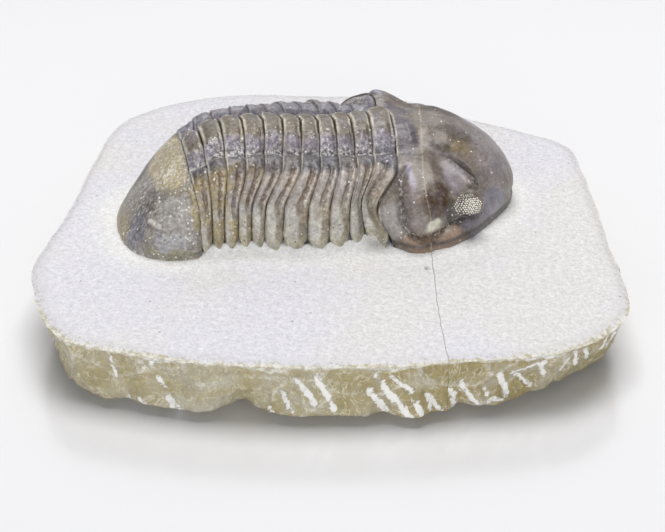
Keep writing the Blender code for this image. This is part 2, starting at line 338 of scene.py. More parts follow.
def shellMaterial(name, look):
    # fossil shell: calcite, stained in clouds, full of pale grains that are partly painted glints, with painted
    # shade in its furrows
    finish, shader = newMaterial(name)
    place = addNode("ShaderNodeTexCoord", {}).outputs["Object"]
    colour = attribute("shellTint", "Color")
    clouds = noiseOn(place, 260, 5, 0.6, 0.6)
    patchy = noiseOn(place, look["patchScale"], 6, 0.65, 1.2)
    fine = noiseOn(place, 2100, 6, 0.7)
    colour = mixColours(stretch(clouds, 0.52, 0.70, 0, look["mottle"] * 0.6), colour, rgb(look["warm"]))
    colour = mixColours(stretch(clouds, 0.48, 0.32, 0, look["mottle"] * 0.5), colour, rgb(look["cool"]))
    patchTone = stretch(patchy, 0.3, 0.7, 0.72, 1.28)
    fineTone = stretch(fine, 0.3, 0.7, 1 - look["grain"] * 0.4, 1 + look["grain"] * 0.4)
    colour = shade(colour, times(patchTone, fineTone))

    # painted shade: furrows, seams, gaps and the foot are darkened towards near-black
    furrow = attribute("furrowShade")
    furrow = times(furrow, stretch(patchy, 0.25, 0.6, 0.6, 1.15))
    colour = mixColours(stretch(furrow, 0.05, 1.0), colour, rgb(look["paintedShade"]))
    rust = times(attribute("rustShade"), stretch(patchy, 0.35, 0.55))
    colour = mixColours(rust, colour, rgb(look["rust"]))

    # pale specks: crystal grains, partly painted glints
    fineSpeckle = attribute("crystalShade")
    specks = times(fineSpeckle, stretch(fine, 0.47, 0.58))
    colour = mixColours(specks, colour, rgb(look["pale"]))
    # pale rim lines; over the top of each ring's arch partly a painted highlight
    rim = times(attribute("rimShade"), stretch(fine, 0.32, 0.5, 0.25, 1))
    colour = mixColours(rim, colour, rgb(look["rim"]))
    # pale flecks: crystal grains, partly painted glints, with dark pits among them
    share = attribute("fleckShare")
    ragged = stretch(noiseOn(place, 4200, 2), 0.35, 0.65, -0.09, 0.09)
    large = fleckMask(place, 700, 0.15, times(share, 0.45), ragged)
    small = fleckMask(place, 1700, 0.25, times(share, 0.9), ragged)
    flecksAndGlints = maths("MAXIMUM", large, small)
    pits = fleckMask(place, 1150, 0.20, times(share, 0.55), ragged)
    colour = mixColours(times(pits, 0.65), colour, rgb(look["pit"]))
    colour = mixColours(times(flecksAndGlints, look["flecksAndGlints"]), colour, rgb(look["pale"]))

    wobble = stretch(patchy, 0.3, 0.7, -0.08, 0.08)
    crack = maths("ABSOLUTE", plus(attribute("crackAway"), wobble))
    crack = times(stretch(crack, 0.13, 0.05), stretch(fine, 0.4, 0.5, 0.3, 1))
    colour = mixColours(times(crack, 0.34), colour, rgb(look["glue"]))

    shader.inputs["IOR"].default_value = look["refraction"]
    shader.inputs["Coat Weight"].default_value = look["polish"]
    shader.inputs["Coat Roughness"].default_value = look["polishRoughness"]
    rough = stretch(fine, 0.3, 0.7, look["roughness"] - 0.1, look["roughness"] + 0.2)
    height = plus(times(patchy, 0.7), times(fine, 0.5))
    finishShader(shader, colour, rough, plus(height, times(flecksAndGlints, 0.3)), look["relief"])
    return finish


# ---------- the animal's body, shared by all of its plates

bodyPlan = {
    "tailAt": (-29.3, -4.4),
    "heading": 12.0,  # degrees
    "headJoint": (39.0, 36.8),
    "ringsAt": [37.2, 34.6, 32.1, 29.8, 27.4, 25.0, 22.3, 19.5, 16.5, 13.5, 10.6],
    "tipsAt": [34.3, 32.4, 29.0, 26.5, 23.1, 19.9, 18.3, 16.6, 14.7, 12.9, 11.4],
    "tailJoint": (9.6, 10.4),
    "width": [(9, 10.75), (10, 10.1), (11, 9.7), (13, 9.6), (17, 9.5), (20, 9.7), (22.3, 10.1), (25, 11.0),
              (27.4, 11.9), (29.8, 12.2), (32.1, 12.6), (34.6, 11.7), (37.2, 10.7), (39, 13.5), (42, 15.0)],
    "crest": [(14, 14.8), (17, 15.2), (20, 15.2), (25, 14.6), (30, 14.0), (33, 13.9), (36, 14.2),
              (38.5, 14.5), (42, 14.4)],
    "plateau": [(0, 1.0), (7, 0.97), (11, 0.92), (16, 0.89), (22, 0.88), (30, 0.87), (36, 0.83), (42, 0.80)],
    "ringWidth": [(0, 2.5), (9, 4.4), (14, 5.0), (25, 5.3), (42, 5.6)],
    "squareness": [(0, 2.2), (8, 2.9), (14, 5.2), (42, 4.8)],
    "roll": [(0, 0.0), (12, 4.5), (34, 5.0), (39, 7.0), (44, 3.5), (52, 0.0)],
    "sweep": [(0, 0), (0.26, 0.2), (0.43, 0.36), (0.68, 0.93), (1, 1)],
    "tailWidth": (9, 10.8, 2.6),  # from where the tail narrows, how wide it is there, how round it is
    "tailCrest": (14, 14.8, 1.25),  # and from where and how its top comes down
    "tailSkirt": 0.15,  # how far the tail's rim reaches past its tip
    "sweptBetween": (-1.0, 46.0),
    "raised": 0.3,
    "flattened": 0.98,
    "headBow": 2.8,
    "buried": 1.0,  # how far the feet go down into the stone
    # the far side stands a little higher than the near one, with a furrow beyond the rings
    "farLift": [(0, 0.0), (13, 0.0), (15, 0.1), (18, 0.4), (26, 0.25), (32, 0.1), (36.5, 0.0),
                (37.2, 0.2), (38.2, 0.75), (39.5, 0.85), (40.4, 0.7), (41.5, 0.35), (43, 0.0), (45, 0.0)],
    "farDrop": [(8, 0.0), (12, 0.8), (20, 1.1), (34, 1.1), (38, 0.8), (41, 0.3), (44, 0.0)],
}

bodyWidth = through(bodyPlan["width"])
crestLine = through(bodyPlan["crest"])
plateau = through(bodyPlan["plateau"])
ringWidth = through(bodyPlan["ringWidth"])
squareness = through(bodyPlan["squareness"])
rollAt = through(bodyPlan["roll"])
sweepShare = through(bodyPlan["sweep"])
farLift = through(bodyPlan["farLift"])
farDrop = through(bodyPlan["farDrop"])
headJoint = bodyPlan["headJoint"]
tailJoint = bodyPlan["tailJoint"]


def jointsBetween(ends, centres):
    middles = [(a + b) / 2 for a, b in zip(centres, centres[1:])]
    return [ends[0], *middles, ends[1]]


ringJoints = jointsBetween((headJoint[0], tailJoint[0]), bodyPlan["ringsAt"])
tipJoints = jointsBetween((headJoint[1], tailJoint[1]), bodyPlan["tipsAt"])


def tailCurve(station, start, full, power, ahead):
    # rounded down to the tail's tip, and the line that is given ahead of that
    skirt = bodyPlan["tailSkirt"]
    return np.where(station < start, full * dome(1 - (station + skirt) / (start + skirt), power), ahead(station))


def widthAt(station):
    return tailCurve(station, *bodyPlan["tailWidth"], bodyWidth)


def crestAt(station):
    return tailCurve(station, *bodyPlan["tailCrest"], crestLine)


def swept(station, reach):
    # plates sweep back as they reach from the axis to their tips
    first, last = bodyPlan["sweptBetween"]
    knots = [first, *reversed(ringJoints), last]
    tips = [first, *reversed(tipJoints), last]
    lag = np.interp(station, knots, tips) - station
    headBow = bodyPlan["headBow"] * bump(station - headJoint[0], 3.0) * bump(reach - 0.72, 0.2)
    return station + lag * sweepShare(reach) - headBow


def halfSection(station, count):
    turn = np.linspace(0, math.pi / 2, 500)
    power = 2 / squareness(station)
    side = crestAt(station) * plateau(station)
    v = widthAt(station) * np.sin(turn) ** power
    z = side * np.clip(np.cos(turn), 0, 1) ** power
    halfRing = ringWidth(station)
    above = np.clip(crestAt(station) - side, 0, None)
    z = z - 0.55 * ease(above) * bump(v - halfRing, 0.8) + above * dome(v / halfRing, 1.6)
    run = np.concatenate([[0.0], np.cumsum(np.hypot(np.diff(v), np.diff(z)))])
    even = np.linspace(0, run[-1], count + 1)
    return np.interp(even, run, v), np.interp(even, run, z)


def bodyRow(station, across, shift, count, relief):
    # one row of points over the back, from foot to foot
    v, z = halfSection(station, count)
    reach = np.linspace(0, 1, count + 1)
    s = swept(station, reach) + shift
    slopeV, slopeZ = np.gradient(v), np.gradient(z)
    length = np.hypot(slopeV, slopeZ)
    pressed = relief(across, reach, v, ringWidth(station)) * ease(z / 0.8)
    v = v + pressed * slopeZ / length
    z = z - pressed * slopeV / length
    right = np.stack([s, -v, z], axis=1)
    left = right[:0:-1] * (1, -1, 1)
    return np.concatenate([left, right])


def settle(rows):
    # leans the back over, lifts it to where it lies and buries the feet
    rows = np.array(rows)
    s, v, z = rows[..., 0], rows[..., 1], rows[..., 2]
    lean = v * np.tan(np.radians(rollAt(s))) * ease(z / 11)
    lean = np.where(v > 0, lean * ease(v / 5), lean)
    lean = lean + farLift(s) * ease((v - 4.5) / 3) * ease(z / 7)
    lean = lean - farDrop(s) * bump(v - 4.6, 1.5) * ease(z / 7)
    buried = bodyPlan["buried"] * (1 - ease(z / 0.5))
    rows[..., 2] = bodyPlan["raised"] + (z + lean) * bodyPlan["flattened"] - buried
    return rows


def onSlab(s, v):
    # from the animal's frame to x and y, mm
    turn = math.radians(bodyPlan["heading"])
    tailX, tailY = bodyPlan["tailAt"]
    return tailX + s * math.cos(turn) - v * math.sin(turn), tailY + s * math.sin(turn) + v * math.cos(turn)


def toWorld(rows):
    rows = settle(rows)
    return np.stack([*onSlab(rows[..., 0], rows[..., 1]), rows[..., 2] + slabTop], axis=-1) * mm


def pointInWorld(s, v, z):
    return toWorld(np.array([[[s, v, z]]]))[0, 0]


# the old repaired break, which crosses slab and head: y and x of each bend, mm
breakLine = [(-38, 15.3), (-32, 14.8), (-24.7, 14.5), (-18.3, 14.4), (-11, 14.3), (-9, 13.5), (-6, 13.1),
             (0, 13.1), (8, 13.1), (40, 12.2)]


def crackAway(rows):
    # how far to the right of the break a point is, in mm
    x, y = rows[..., 0] / mm, rows[..., 1] / mm
    return x - np.interp(y, *np.transpose(breakLine))


def paintPatches(tint, rows, patches, seed):
    # stains with soft, ragged edges; each is a centre and three radii in the animal's frame, mm
    near = np.array(rows)
    near[..., 1] = np.abs(near[..., 1])
    ragged = np.stack([lumps(rows, 2.2, seed + k, 3) for k in range(3)], axis=-1)
    near = near + ragged * 0.7
    for centre, radii, colour, strength in patches.values():
        away = np.linalg.norm((near - centre) / radii, axis=-1)
        tint = blend(tint, fromHex(colour), strength * ease((1.15 - away) / 0.45))
    return tint


def sculpt(rows, seed, coarse, fine, extra=0.0):
    # small uneven lumps, pushed along the surface's own direction
    world = toWorld(rows)
    normals = gridNormals(world, world.mean(axis=(0, 1)) - (0, 0, 0.004))
    push = coarse * lumps(rows, 3.1, seed, 2) + fine * lumps(rows, 0.75, seed + 5, 3)
    return world + normals * (push + extra)[..., None] * mm


print("body laid out: joints at", [round(at, 1) for at in ringJoints])

# ---------- thoracic segments

segmentPlan = {
    "rows": 30,
    "sidePoints": 170,
    "ringBulge": (0.45, 0.30),  # how far the front and rear edges are pressed in
    "sideBulge": (0.40, 0.15),
    "tipBulge": (0.75, 0.55),
    "ribFurrow": 0.55,
    "ringFurrow": 0.35,
    "ringKnob": 0.32,
    "rimHeight": 0.14,
    "overlap": 0.04,
    "narrowing": (0.88, 0.122, 2.3),  # from where its tip runs to a point, over how far, how round
    "lumps": (0.10, 0.09),  # height of its coarse and of its fine unevenness
    "archCorner": 1.1,  # each ring stands up as a round-topped arch, seen from the near side
    "archTop": 2.4,
    "archStep": 0.13,
    "rustBy": [0.2, 0.5, 0.35, 0.6, 0.8, 0.45, 0.7, 0.9, 0.5, 0.9, 0.6],
}

segmentColours = {
    "ringTop": "#6F685E",
    "ringStreak": "#6D5D45",
    "ringSide": "#8A8491",
    "axialFurrow": "#68646A",
    "inner": "#545157",
    "oblique": "#968A7F",
    "ridge": "#ADA5A2",
    "lappet": "#BFBCB3",
    "lappetFront": "#857A66",
    "foot": "#A9A48C",
    "ochre": "#9A8A58",
    # the far side of each ring: a painted mauve-grey sheen
    "farSidePaintedSheen": "#85818B",
}


def zones(reach, v, halfRing):
    # how far a point belongs to the ring, to the side and to the tip of its plate
    onRing = 1 - ease((v - halfRing + 0.6) / 0.8)
    onTip = ease((reach - 0.60) / 0.2)
    return onRing, (1 - onRing) * (1 - onTip), onTip


def edgePressed(reach, v, halfRing, depths):
    # how far an edge is pressed in, from its depth on ring, side and tip
    return sum(part * depth for part, depth in zip(zones(reach, v, halfRing), depths))


def segmentRelief(across, reach, v, halfRing):
    front = clamp(1 - 2 * across)
    rear = clamp(2 * across - 1)
    onRing, onSide, onTip = zones(reach, v, halfRing)
    plan = segmentPlan
    pressed = onRing * (plan["ringBulge"][0] * front**2.6 + plan["ringBulge"][1] * rear**2.6)
    lowRing = onRing * ease((v - 1.2) / 1.6)
    pressed += lowRing * plan["ringFurrow"] * bump(across - 0.15, 0.09)
    pressed -= lowRing * plan["ringKnob"] * bump(v - halfRing + 1.5, 1.0) * bump(across - 0.6, 0.2)
    pressed += onSide * (plan["sideBulge"][0] * front**3 + plan["sideBulge"][1] * rear**4)
    pressed += onTip * (plan["tipBulge"][0] * front**2.2 + plan["tipBulge"][1] * rear**3)
    rib = ease((reach - 0.36) / 0.1) * (1 - ease((reach - 0.66) / 0.16))
    pressed += plan["ribFurrow"] * rib * bump(across - 0.42, 0.15)
    pressed -= plan["rimHeight"] * bump(across - 0.94, 0.05) * (1 - onTip)
    return pressed


def makeSegment(number, finish):
    front, rear = number - 1, number
    length = ringJoints[front] - ringJoints[rear]
    tipMiddle = bodyPlan["tipsAt"][number - 1]
    count = segmentPlan["sidePoints"]
    rows = []
    acrosses = np.linspace(0, 1, segmentPlan["rows"])
    for across in acrosses:
        station = ringJoints[front] - across * length
        row = bodyRow(station, across, segmentPlan["overlap"] * (0.5 - across), count, segmentRelief)
        reach = np.abs(np.linspace(-1, 1, len(row)))
        start, over, power = segmentPlan["narrowing"]
        narrowing = 1 - dome((reach - start) / over, power)
        row[:, 0] += (tipMiddle - row[:, 0]) * narrowing
        rows.append(row)
    rows = np.array(rows)
    across = np.broadcast_to(acrosses[:, None], rows.shape[:2])
    reach = np.broadcast_to(np.abs(np.linspace(-1, 1, rows.shape[1])), rows.shape[:2])
    v = np.abs(rows[..., 1])
    seed = 100 + 13 * number
    far = rows[..., 1]
    halfRing = float(ringWidth(ringJoints[front]))
    plan = segmentPlan
    arch = roundedLeast(plan["archCorner"], across * length, (1 - across) * length, plan["archTop"] - far)
    onRing = zones(reach, v, halfRing)[0]
    step = -plan["archStep"] * (1 - ease(arch / 0.45)) + 0.07 * bump(arch - 0.3, 0.16)
    piece = addGrid(f"thoraxPlate{number:02d}", sculpt(rows, seed, *plan["lumps"], step * onRing))
    cloud = lumps(rows, 2.4, seed + 3, 3)
    speck = lumps(rows, 0.8, seed + 4, 3)
    streak = lumps(rows * (2.6, 0.5, 0.5), 1.0, seed + 6, 3)
    onRidge = ease((reach - 0.42) / 0.05) * (1 - ease((reach - 0.68) / 0.08))
    onLappet = ease((reach - 0.62 + 0.04 * cloud) / 0.08)
    stained = ease((number - 7.0) / 2.0) * ease((reach - 0.34) / 0.1)
    farSide = ease((far - plan["archTop"] + 0.35) / 0.5)
    layers = {
        "ringSide": ease((v - 2.4 + cloud) / 1.4),
        "ringStreak": (1 - ease((v - 3.4) / 1.2)) * ease((streak + 0.05) / 0.4) * 0.7,
        "inner": ease((v - halfRing) / 0.6),
        "oblique": ease((reach - 0.42 + 0.05 * cloud) / 0.07),
        "ridge": onRidge * bump(across - 0.78, 0.14) * 0.9,
        "lappet": onLappet,
        "lappetFront": onLappet * (1 - ease((across - 0.40 + 0.12 * cloud) / 0.12)) * 0.9,
        "foot": ease((reach - 0.88) / 0.08) * 0.7,
        "axialFurrow": bump(v - halfRing, 0.45) * 0.8,
        "ochre": stained * ease((cloud + 0.15) / 0.4) * 0.75,
        # painted sheen: the far side of each ring is tinted mauve-grey
        "farSidePaintedSheen": farSide * 0.85,
    }
    tint = np.broadcast_to(fromHex(segmentColours["ringTop"]), rows.shape)
    for name, share in layers.items():
        tint = blend(tint, fromHex(segmentColours[name]), share)
    tone = 1 + 0.05 * math.sin(number * 2.3) + 0.10 * cloud
    storeColours(piece, "shellTint", tint * tone[..., None])

    edge = np.minimum(across, 1 - across) * length
    onTip = ease((reach - 0.60) / 0.12)
    rib = ease((reach - 0.38) / 0.08) * (1 - ease((reach - 0.64) / 0.14))
    ribLine = rib * bump(across - 0.42, 0.13)
    # painted shade: the seams, the gaps between the tips, the axial and rib furrows and the front of each ring are
    # darkened
    seam = np.where(across < 0.5, bump(edge, 0.13), 0.0) * (1 - 0.5 * farSide)
    gap = onTip * bump(edge, 0.16)
    ringPaintedShade = ease((-far - 0.4 + cloud) / 1.8) * (1 - ease((v - halfRing) / 0.4)) * bump(across - 0.13, 0.08)
    furrow = np.maximum(seam * 0.3, gap * 0.4) + 0.3 * bump(v - halfRing, 0.3)
    furrow = np.maximum(furrow, ribLine * 0.35)
    furrow = np.maximum(furrow, ringPaintedShade * 0.55)
    stain = ease((lumps(rows, 1.7, seed + 7, 3) + 0.3) / 0.5) * plan["rustBy"][number - 1]
    lowRing = ease((v - 2.2) / 1.0) * (1 - ease((v - halfRing - 0.5) / 0.5))
    # pale crystal grains, partly painted glints, low on each ring, beside the furrows and as flecks
    crystals = lowRing * (0.25 + 0.6 * cloud) + 0.5 * bump(v - halfRing, 0.4) * (0.5 + speck)
    besideFurrow = bump(across - 0.28, 0.08) + bump(across - 0.58, 0.08)
    crystals = crystals * (1 - 0.75 * ease(far / 1.5)) + 0.35 * rib * besideFurrow
    rimLine = bump(across - 0.95, 0.035) * (1 - ease((reach - 0.40) / 0.05)) * (1 - 0.6 * farSide)
    # pale line round the top of each ring's arch: partly the raised rim, partly a painted highlight
    rimLine += onRing * bump(arch - 0.33, 0.14) * ease((far + 3.2) / 1.5) * (0.8 + 0.5 * speck)
    rimLine += 0.5 * onRidge * (bump(across - 0.60, 0.04) + bump(across - 0.20, 0.04))
    rimLine += 0.35 * onTip * bump(across - 0.86, 0.05)
    flecksAndGlints = 0.10 + 0.7 * cloud + 0.45 * lowRing + 0.25 * stained
    storeShades(piece, np.clip(flecksAndGlints, 0.06, 1), noCrack, furrow=furrow, crystal=crystals + 0.08,
                rust=ribLine * stain + stained * 0.25 * speck, rim=rimLine * (0.8 + 0.5 * speck))
    closeUnder(piece, float(swept(ringJoints[front] - length / 2, 0.55)), 5.0)
    finishPiece(piece, finish, "body_shell", f"thoracic_segment_{number:02d}")


bodyFinish = shellMaterial("thoraxShell", shellLook)
for number in range(1, len(bodyPlan["ringsAt"]) + 1):
    makeSegment(number, bodyFinish)
print("thorax done")

# ---------- tail shield

tailPlan = {
    "rows": 130,
    "sidePoints": 150,
    "frontEdge": (0.15, 0.0, 0.25),  # how far its front edge is pressed in on ring, side and tip
    "lumps": (0.12, 0.06),  # height of its coarse and of its fine unevenness
    "lowered": 0.02,  # how far its crest stays below the last ring, as a share of the height
    "farNarrowed": 0.3,  # how much narrower its tip is on the far side
}

tailColours = {
    "base": "#8A847C",
    "patches": {
        "goldTop": ((6.3, 2.0, 10.0), (4.6, 5.5, 3.0), "#B8AC8A", 0.9),
        "paleSide": ((7.0, 8.2, 6.4), (2.6, 2.2, 2.6), "#A5A29D", 0.8),
        "darkPatch": ((3.7, 4.6, 6.2), (1.9, 2.2, 2.4), "#5F5A56", 0.85),
        "blueLow": ((2.2, 6.0, 2.8), (2.2, 2.4, 3.0), "#6C6A74", 0.85),
        "goldEdge": ((0.0, 2.5, 2.8), (1.3, 4.5, 4.0), "#9C8E66", 0.9),
        "streak": ((4.6, 7.9, 4.4), (2.1, 1.2, 0.35), "#C9C6BA", 0.7),
        "lowGrey": ((6.6, 9.6, 2.6), (3.0, 2.0, 1.6), "#9C9DA0", 0.8),
        "ochreJoint": ((9.9, 8.8, 6.5), (0.9, 3.0, 3.6), "#9A8A58", 0.8),
        "rustJoint": ((9.9, 3.6, 12.2), (0.8, 1.6, 1.6), "#5A4632", 0.8),
        "footGreen": ((6.0, 10.4, 0.6), (4.0, 2.0, 0.8), "#8E8A6A", 0.7),
    },
}


def tailRelief(across, reach, v, halfRing):
    joint = clamp(1 - 2 * across)
    return joint**3 * edgePressed(reach, v, halfRing, tailPlan["frontEdge"])


def makeTail(finish):
    first = tailJoint[0]
    rows = []
    for turn in np.linspace(0, math.pi / 2 * 0.985, tailPlan["rows"]):
        station = first - (first + bodyPlan["tailSkirt"]) * math.sin(turn)
        across = 0.5 - 0.5 * math.exp(-(first - station) / 0.5)
        row = bodyRow(station, across, 0.02, tailPlan["sidePoints"], tailRelief)
        row[:, 2] *= 1 - tailPlan["lowered"] * ease(station / 5)
        narrowed = 1 - tailPlan["farNarrowed"] * ease(1 - station / 8)
        row[:, 1] = np.where(row[:, 1] > 0, row[:, 1] * narrowed, row[:, 1])
        rows.append(row)
    rows = np.array(rows)
    v, z, s = np.abs(rows[..., 1]), rows[..., 2], rows[..., 0]
    piece = addGrid("tailShield", sculpt(rows, 400, *tailPlan["lumps"]))
    cloud = lumps(rows, 2.4, 403, 3)
    speck = lumps(rows, 0.8, 404, 3)
    tint = np.broadcast_to(fromHex(tailColours["base"]), rows.shape)
    tint = paintPatches(tint, rows, tailColours["patches"], 407)
    storeColours(piece, "shellTint", tint * (1 + 0.10 * cloud)[..., None])
    joint = np.broadcast_to(np.exp(-np.arange(len(rows)) / 3.0)[:, None], rows.shape[:2])
    # pale crystal grains, partly painted glints, on the tail's top and as flecks
    crystals = 0.7 * bump(awayFrom(rows, (6.6, -2.6, 10.0)), 1.6) + 0.2 + 0.25 * cloud
    growth = bump((z + 0.22 * s + 0.5 * cloud) % 0.85 - 0.42, 0.08) * ease((v - 7.5) / 1.5)
    growth *= ease((4.4 - z) / 1.2) * ease((s - 3) / 2) * ease(speck + 0.6)
    flecksAndGlints = 0.28 + 0.6 * cloud + 0.5 * bump(s - 8.6, 1.2) + 0.5 * bump(z - 0.6, 0.6)
    # painted shade at the joint with the last ring and along the foot where it meets the stone
    storeShades(piece, np.clip(flecksAndGlints, 0.08, 1), noCrack, furrow=joint * 0.45 + 0.25 * bump(z - 0.6, 0.3),
                rust=0.25 * speck, crystal=crystals, rim=growth * 0.5)
    closeUnder(piece, 5.0, 1.5)
    finishPiece(piece, finish, "tail_shell", "pygidium")


tailLook = shellLook | {"mottle": 0.45, "warm": "#8E8062", "grain": 0.5, "patchScale": 420}
makeTail(shellMaterial("tailShell", tailLook))
print("tail done")

# ---------- head shield

headPlan = {
    "centre": 43.0,
    "front": 56.6,
    "curveFrom": 42,  # where its outline starts to curve in
    "roundness": 1.65,
    "footWidth": 15.0,
    "width": [(36, 13.4), (37, 13.9), (38.5, 15.2), (40, 15.6), (42, 15.2)],
    "sidePoints": 160,
    "uprightRows": 44,
    "leaningRows": 176,
    "cheekHeight": [(36, 11.6), (42, 11.5), (45, 10.2), (48, 8.2), (52, 4.6), (56, 1.6)],
    "glabellaWidth": [(42, 5.6), (46, 7.2), (50, 8.6), (53, 9.2), (57, 9.6)],
    "glabellaCore": [(41, 10.1), (44, 9.2), (46, 8.6), (48, 7.3), (50, 5.7), (53.5, 4.3), (57, 2.6)],
    "glabellaRise": [(41, 3.4), (44, 3.5), (46, 4.05), (48, 4.6), (50, 5.4), (53.5, 5.2), (57, 5.0)],
    "rearEdge": (0.50, 0.10, 0.30),  # how far its rear edge is pressed in on ring, side and tip
    "eyeInner": (45.0, 7.8, 8.8),
    "eyeOuter": (47.4, 10.9, 6.8),
    "eyeRadius": (1.7, 1.7),  # at its inner and its outer end
    "lensAt": (47.3, 12.0, 4.75),
    "lensRadii": (2.2, 1.9, 1.9),
    # hollows round the eye: where, how wide, how deep
    "hollows": [((44.6, 14.0, 4.4), 1.4, 0.8), ((46.9, 13.8, 2.4), 1.3, 0.6), ((50.0, 12.6, 3.6), 1.2, 0.5)],
    "lidJoin": 0.9,  # how softly the lid runs into the cheek
    "glabellaJoin": (0.8, 1.8),  # and the glabella into both: at the eyes, and how much more at the front
    "rearFurrow": [(5, 42.2), (7, 41.0), (8.5, 39.4), (9.5, 38.4), (11, 37.9), (13, 37.7), (16, 37.6)],
    "rimFurrow": [(38, 2.3), (41.3, 2.0), (44.4, 2.8), (48, 3.4)],
    # depth and half width of the furrows round the cheek, the glabella and the eye
    "cheekFurrow": (0.75, 0.65),
    "axialFurrow": (0.42, 0.7),
    "eyeFurrow": (0.3, 0.45),
    "lumps": (0.10, 0.05),
}

headColours = {
    "base": "#7C726B",
    "patches": {
        "glabellaBrown": ((46.8, 4.8, 11.8), (4.2, 3.6, 1.9), "#4C4036", 0.9),
        "glabellaFront": ((52.5, 4.0, 8.0), (4.0, 6.0, 4.0), "#948C8E", 0.7),
        "glabellaGold": ((48.2, 6.0, 10.9), (2.4, 1.4, 1.1), "#857654", 0.65),
        "glabellaLow": ((52.6, 9.0, 3.2), (3.0, 3.0, 2.6), "#8A8794", 0.85),
        "neckViolet": ((40.1, 3.4, 12.6), (2.0, 4.2, 2.8), "#504B56", 0.8),
        "cheekBrown": ((42.2, 12.4, 7.2), (2.5, 3.2, 3.1), "#48331F", 1.0),
        "cheekTop": ((42.6, 8.4, 10.4), (2.2, 2.6, 1.8), "#584A40", 0.9),
        # painted shade behind and under the eye lobe
        "shadeBehindEye": ((44.6, 13.6, 5.0), (1.2, 2.0, 2.4), "#46423A", 0.95),
        "shadeUnderEye": ((46.4, 13.6, 3.0), (2.6, 2.2, 1.3), "#46423A", 0.95),
        "yellowGreen": ((41.3, 14.2, 4.0), (1.3, 1.5, 1.15), "#DFE0CC", 0.8),
        "genalGrey": ((36.2, 13.0, 4.4), (1.7, 2.6, 3.8), "#9B9894", 0.9),
        # painted highlight: pale violet along the ridge at the cheek's rear
        "violetRidgeHighlight": ((39.4, 9.6, 8.8), (0.95, 3.0, 2.8), "#A39EB0", 0.95),
        "greyRidge": ((39.0, 12.7, 5.5), (1.0, 1.6, 1.7), "#96938E", 0.9),
        "olive": ((39.4, 13.6, 4.1), (1.0, 1.3, 1.1), "#5E5C42", 0.8),
        "brownBorder": ((42.6, 15.0, 1.2), (5.4, 3.3, 2.0), "#9C826D", 0.85),
        "violetBorder": ((49.0, 12.0, 1.8), (3.4, 3.0, 1.8), "#77727C", 0.8),
        "eyeLid": ((46.0, 9.8, 8.9), (2.4, 3.0, 2.3), "#867D82", 0.95),
        "furrowBrown": ((48.2, 11.6, 8.2), (1.2, 1.6, 1.6), "#564636", 0.75),
        # painted shade in the gaps between the lenses
        "shadeBetweenLenses": ((46.9, 13.6, 5.7), (1.9, 1.5, 1.6), "#716B62", 1.0),
    },
}

headWidth = through(headPlan["width"])
cheekHeight = through(headPlan["cheekHeight"])
glabellaWidth = through(headPlan["glabellaWidth"])
glabellaCore = through(headPlan["glabellaCore"])
glabellaRise = through(headPlan["glabellaRise"])
rearFurrow = through(headPlan["rearFurrow"])
rimFurrow = through(headPlan["rimFurrow"])


def lobe(a, b, power):
    return (a**power + b**power) ** (1 / power)


def join(one, other, width):
    # two lobes run together softly
    share = np.clip(0.5 + 0.5 * (other - one) / width, 0, 1)
    return other + (one - other) * share - width * share * (1 - share)


def meet(one, other, furrow, width):
    # two lobes joined, with a furrow along the line where they meet
    return np.minimum(one, other) + furrow * bump(one - other, width)


def headParts(s, v, z):
    v = np.abs(v)
    plan = headPlan
    place = np.stack([s, v, z], axis=-1)
    ahead = np.clip(s - plan["curveFrom"], 0, None) / (plan["front"] - 1.1 - plan["curveFrom"])
    outline = lobe(v / headWidth(s), ahead, plan["roundness"])
    cheeks = (lobe(outline, z / cheekHeight(s), 3.2) - 1) * 9
    for centre, width, depth in plan["hollows"]:
        cheeks = cheeks + depth * bump(awayFrom(place, centre), width)
    roundAbout = lobe(v / glabellaWidth(s), np.abs(z - glabellaCore(s)) / glabellaRise(s), 2.3)
    nose = np.clip(s - 46, 0, None) / (plan["front"] + 0.2 - 46)
    glabella = (lobe(roundAbout, nose, 2.3) - 1) * 5 + 0.3 * bump(s - 42.3, 0.9)
    along = np.subtract(plan["eyeOuter"], plan["eyeInner"])
    share = np.clip((place - plan["eyeInner"]) @ along / (along @ along), 0, 1)[..., None]
    radius = plan["eyeRadius"][0] + (plan["eyeRadius"][1] - plan["eyeRadius"][0]) * share[..., 0]
    lid = np.linalg.norm(place - plan["eyeInner"] - share * along, axis=-1) - radius
    lens = (np.linalg.norm((place - plan["lensAt"]) / plan["lensRadii"], axis=-1) - 1) * 2.0
    return cheeks, glabella, lid, lens


def fromBorder(s, v, z):
    # distance from the furrow round the cheek: above zero on the cheek, below on the border
    return roundedLeast(2.2, s - rearFurrow(v), z - rimFurrow(s))


def borderShare(s, v):
    return ease((v - 8.0) / 2.0) * (1 - ease((s - 47.0) / 3))


def headField(s, v, z):
    # below zero inside the head, above zero outside it
    cheeks, glabella, lid, lens = headParts(s, v, z)
    sides = join(cheeks, lid, headPlan["lidJoin"])
    least, more = headPlan["glabellaJoin"]
    head = join(sides, glabella, least + more * ease((s - 48.5) / 2.5))
    depth, width = headPlan["axialFurrow"]
    head = head + depth * bump(sides - glabella, width) * ease((s - 44.0) / 2.0) * (1 - ease((s - 48) / 2.5))
    head = meet(head, lens, *headPlan["eyeFurrow"])
    v = np.abs(v)
    depth, width = headPlan["cheekFurrow"]
    return head + depth * bump(fromBorder(s, v, z), width) * borderShare(s, v)


def surfaceAlong(start, direction):
    # how far out the head's outermost surface is along each ray
    def outside(distance):
        point = start + direction * distance[..., None]
        return headField(point[..., 0], point[..., 1], point[..., 2]) > 0

    high = np.full(direction.shape[:-1], 24.0)
    searching = np.ones(high.shape, dtype=bool)
    for step in range(90):
        searching &= outside(high - 0.25)
        high = np.where(searching, high - 0.25, high)
    low = high - 0.25
    for step in range(14):
        middle = (low + high) / 2
        out = outside(middle)
        high = np.where(out, middle, high)
        low = np.where(out, low, middle)
    return high


def headRelief(across, reach, v, halfRing):
    return edgePressed(reach, v, halfRing, headPlan["rearEdge"])


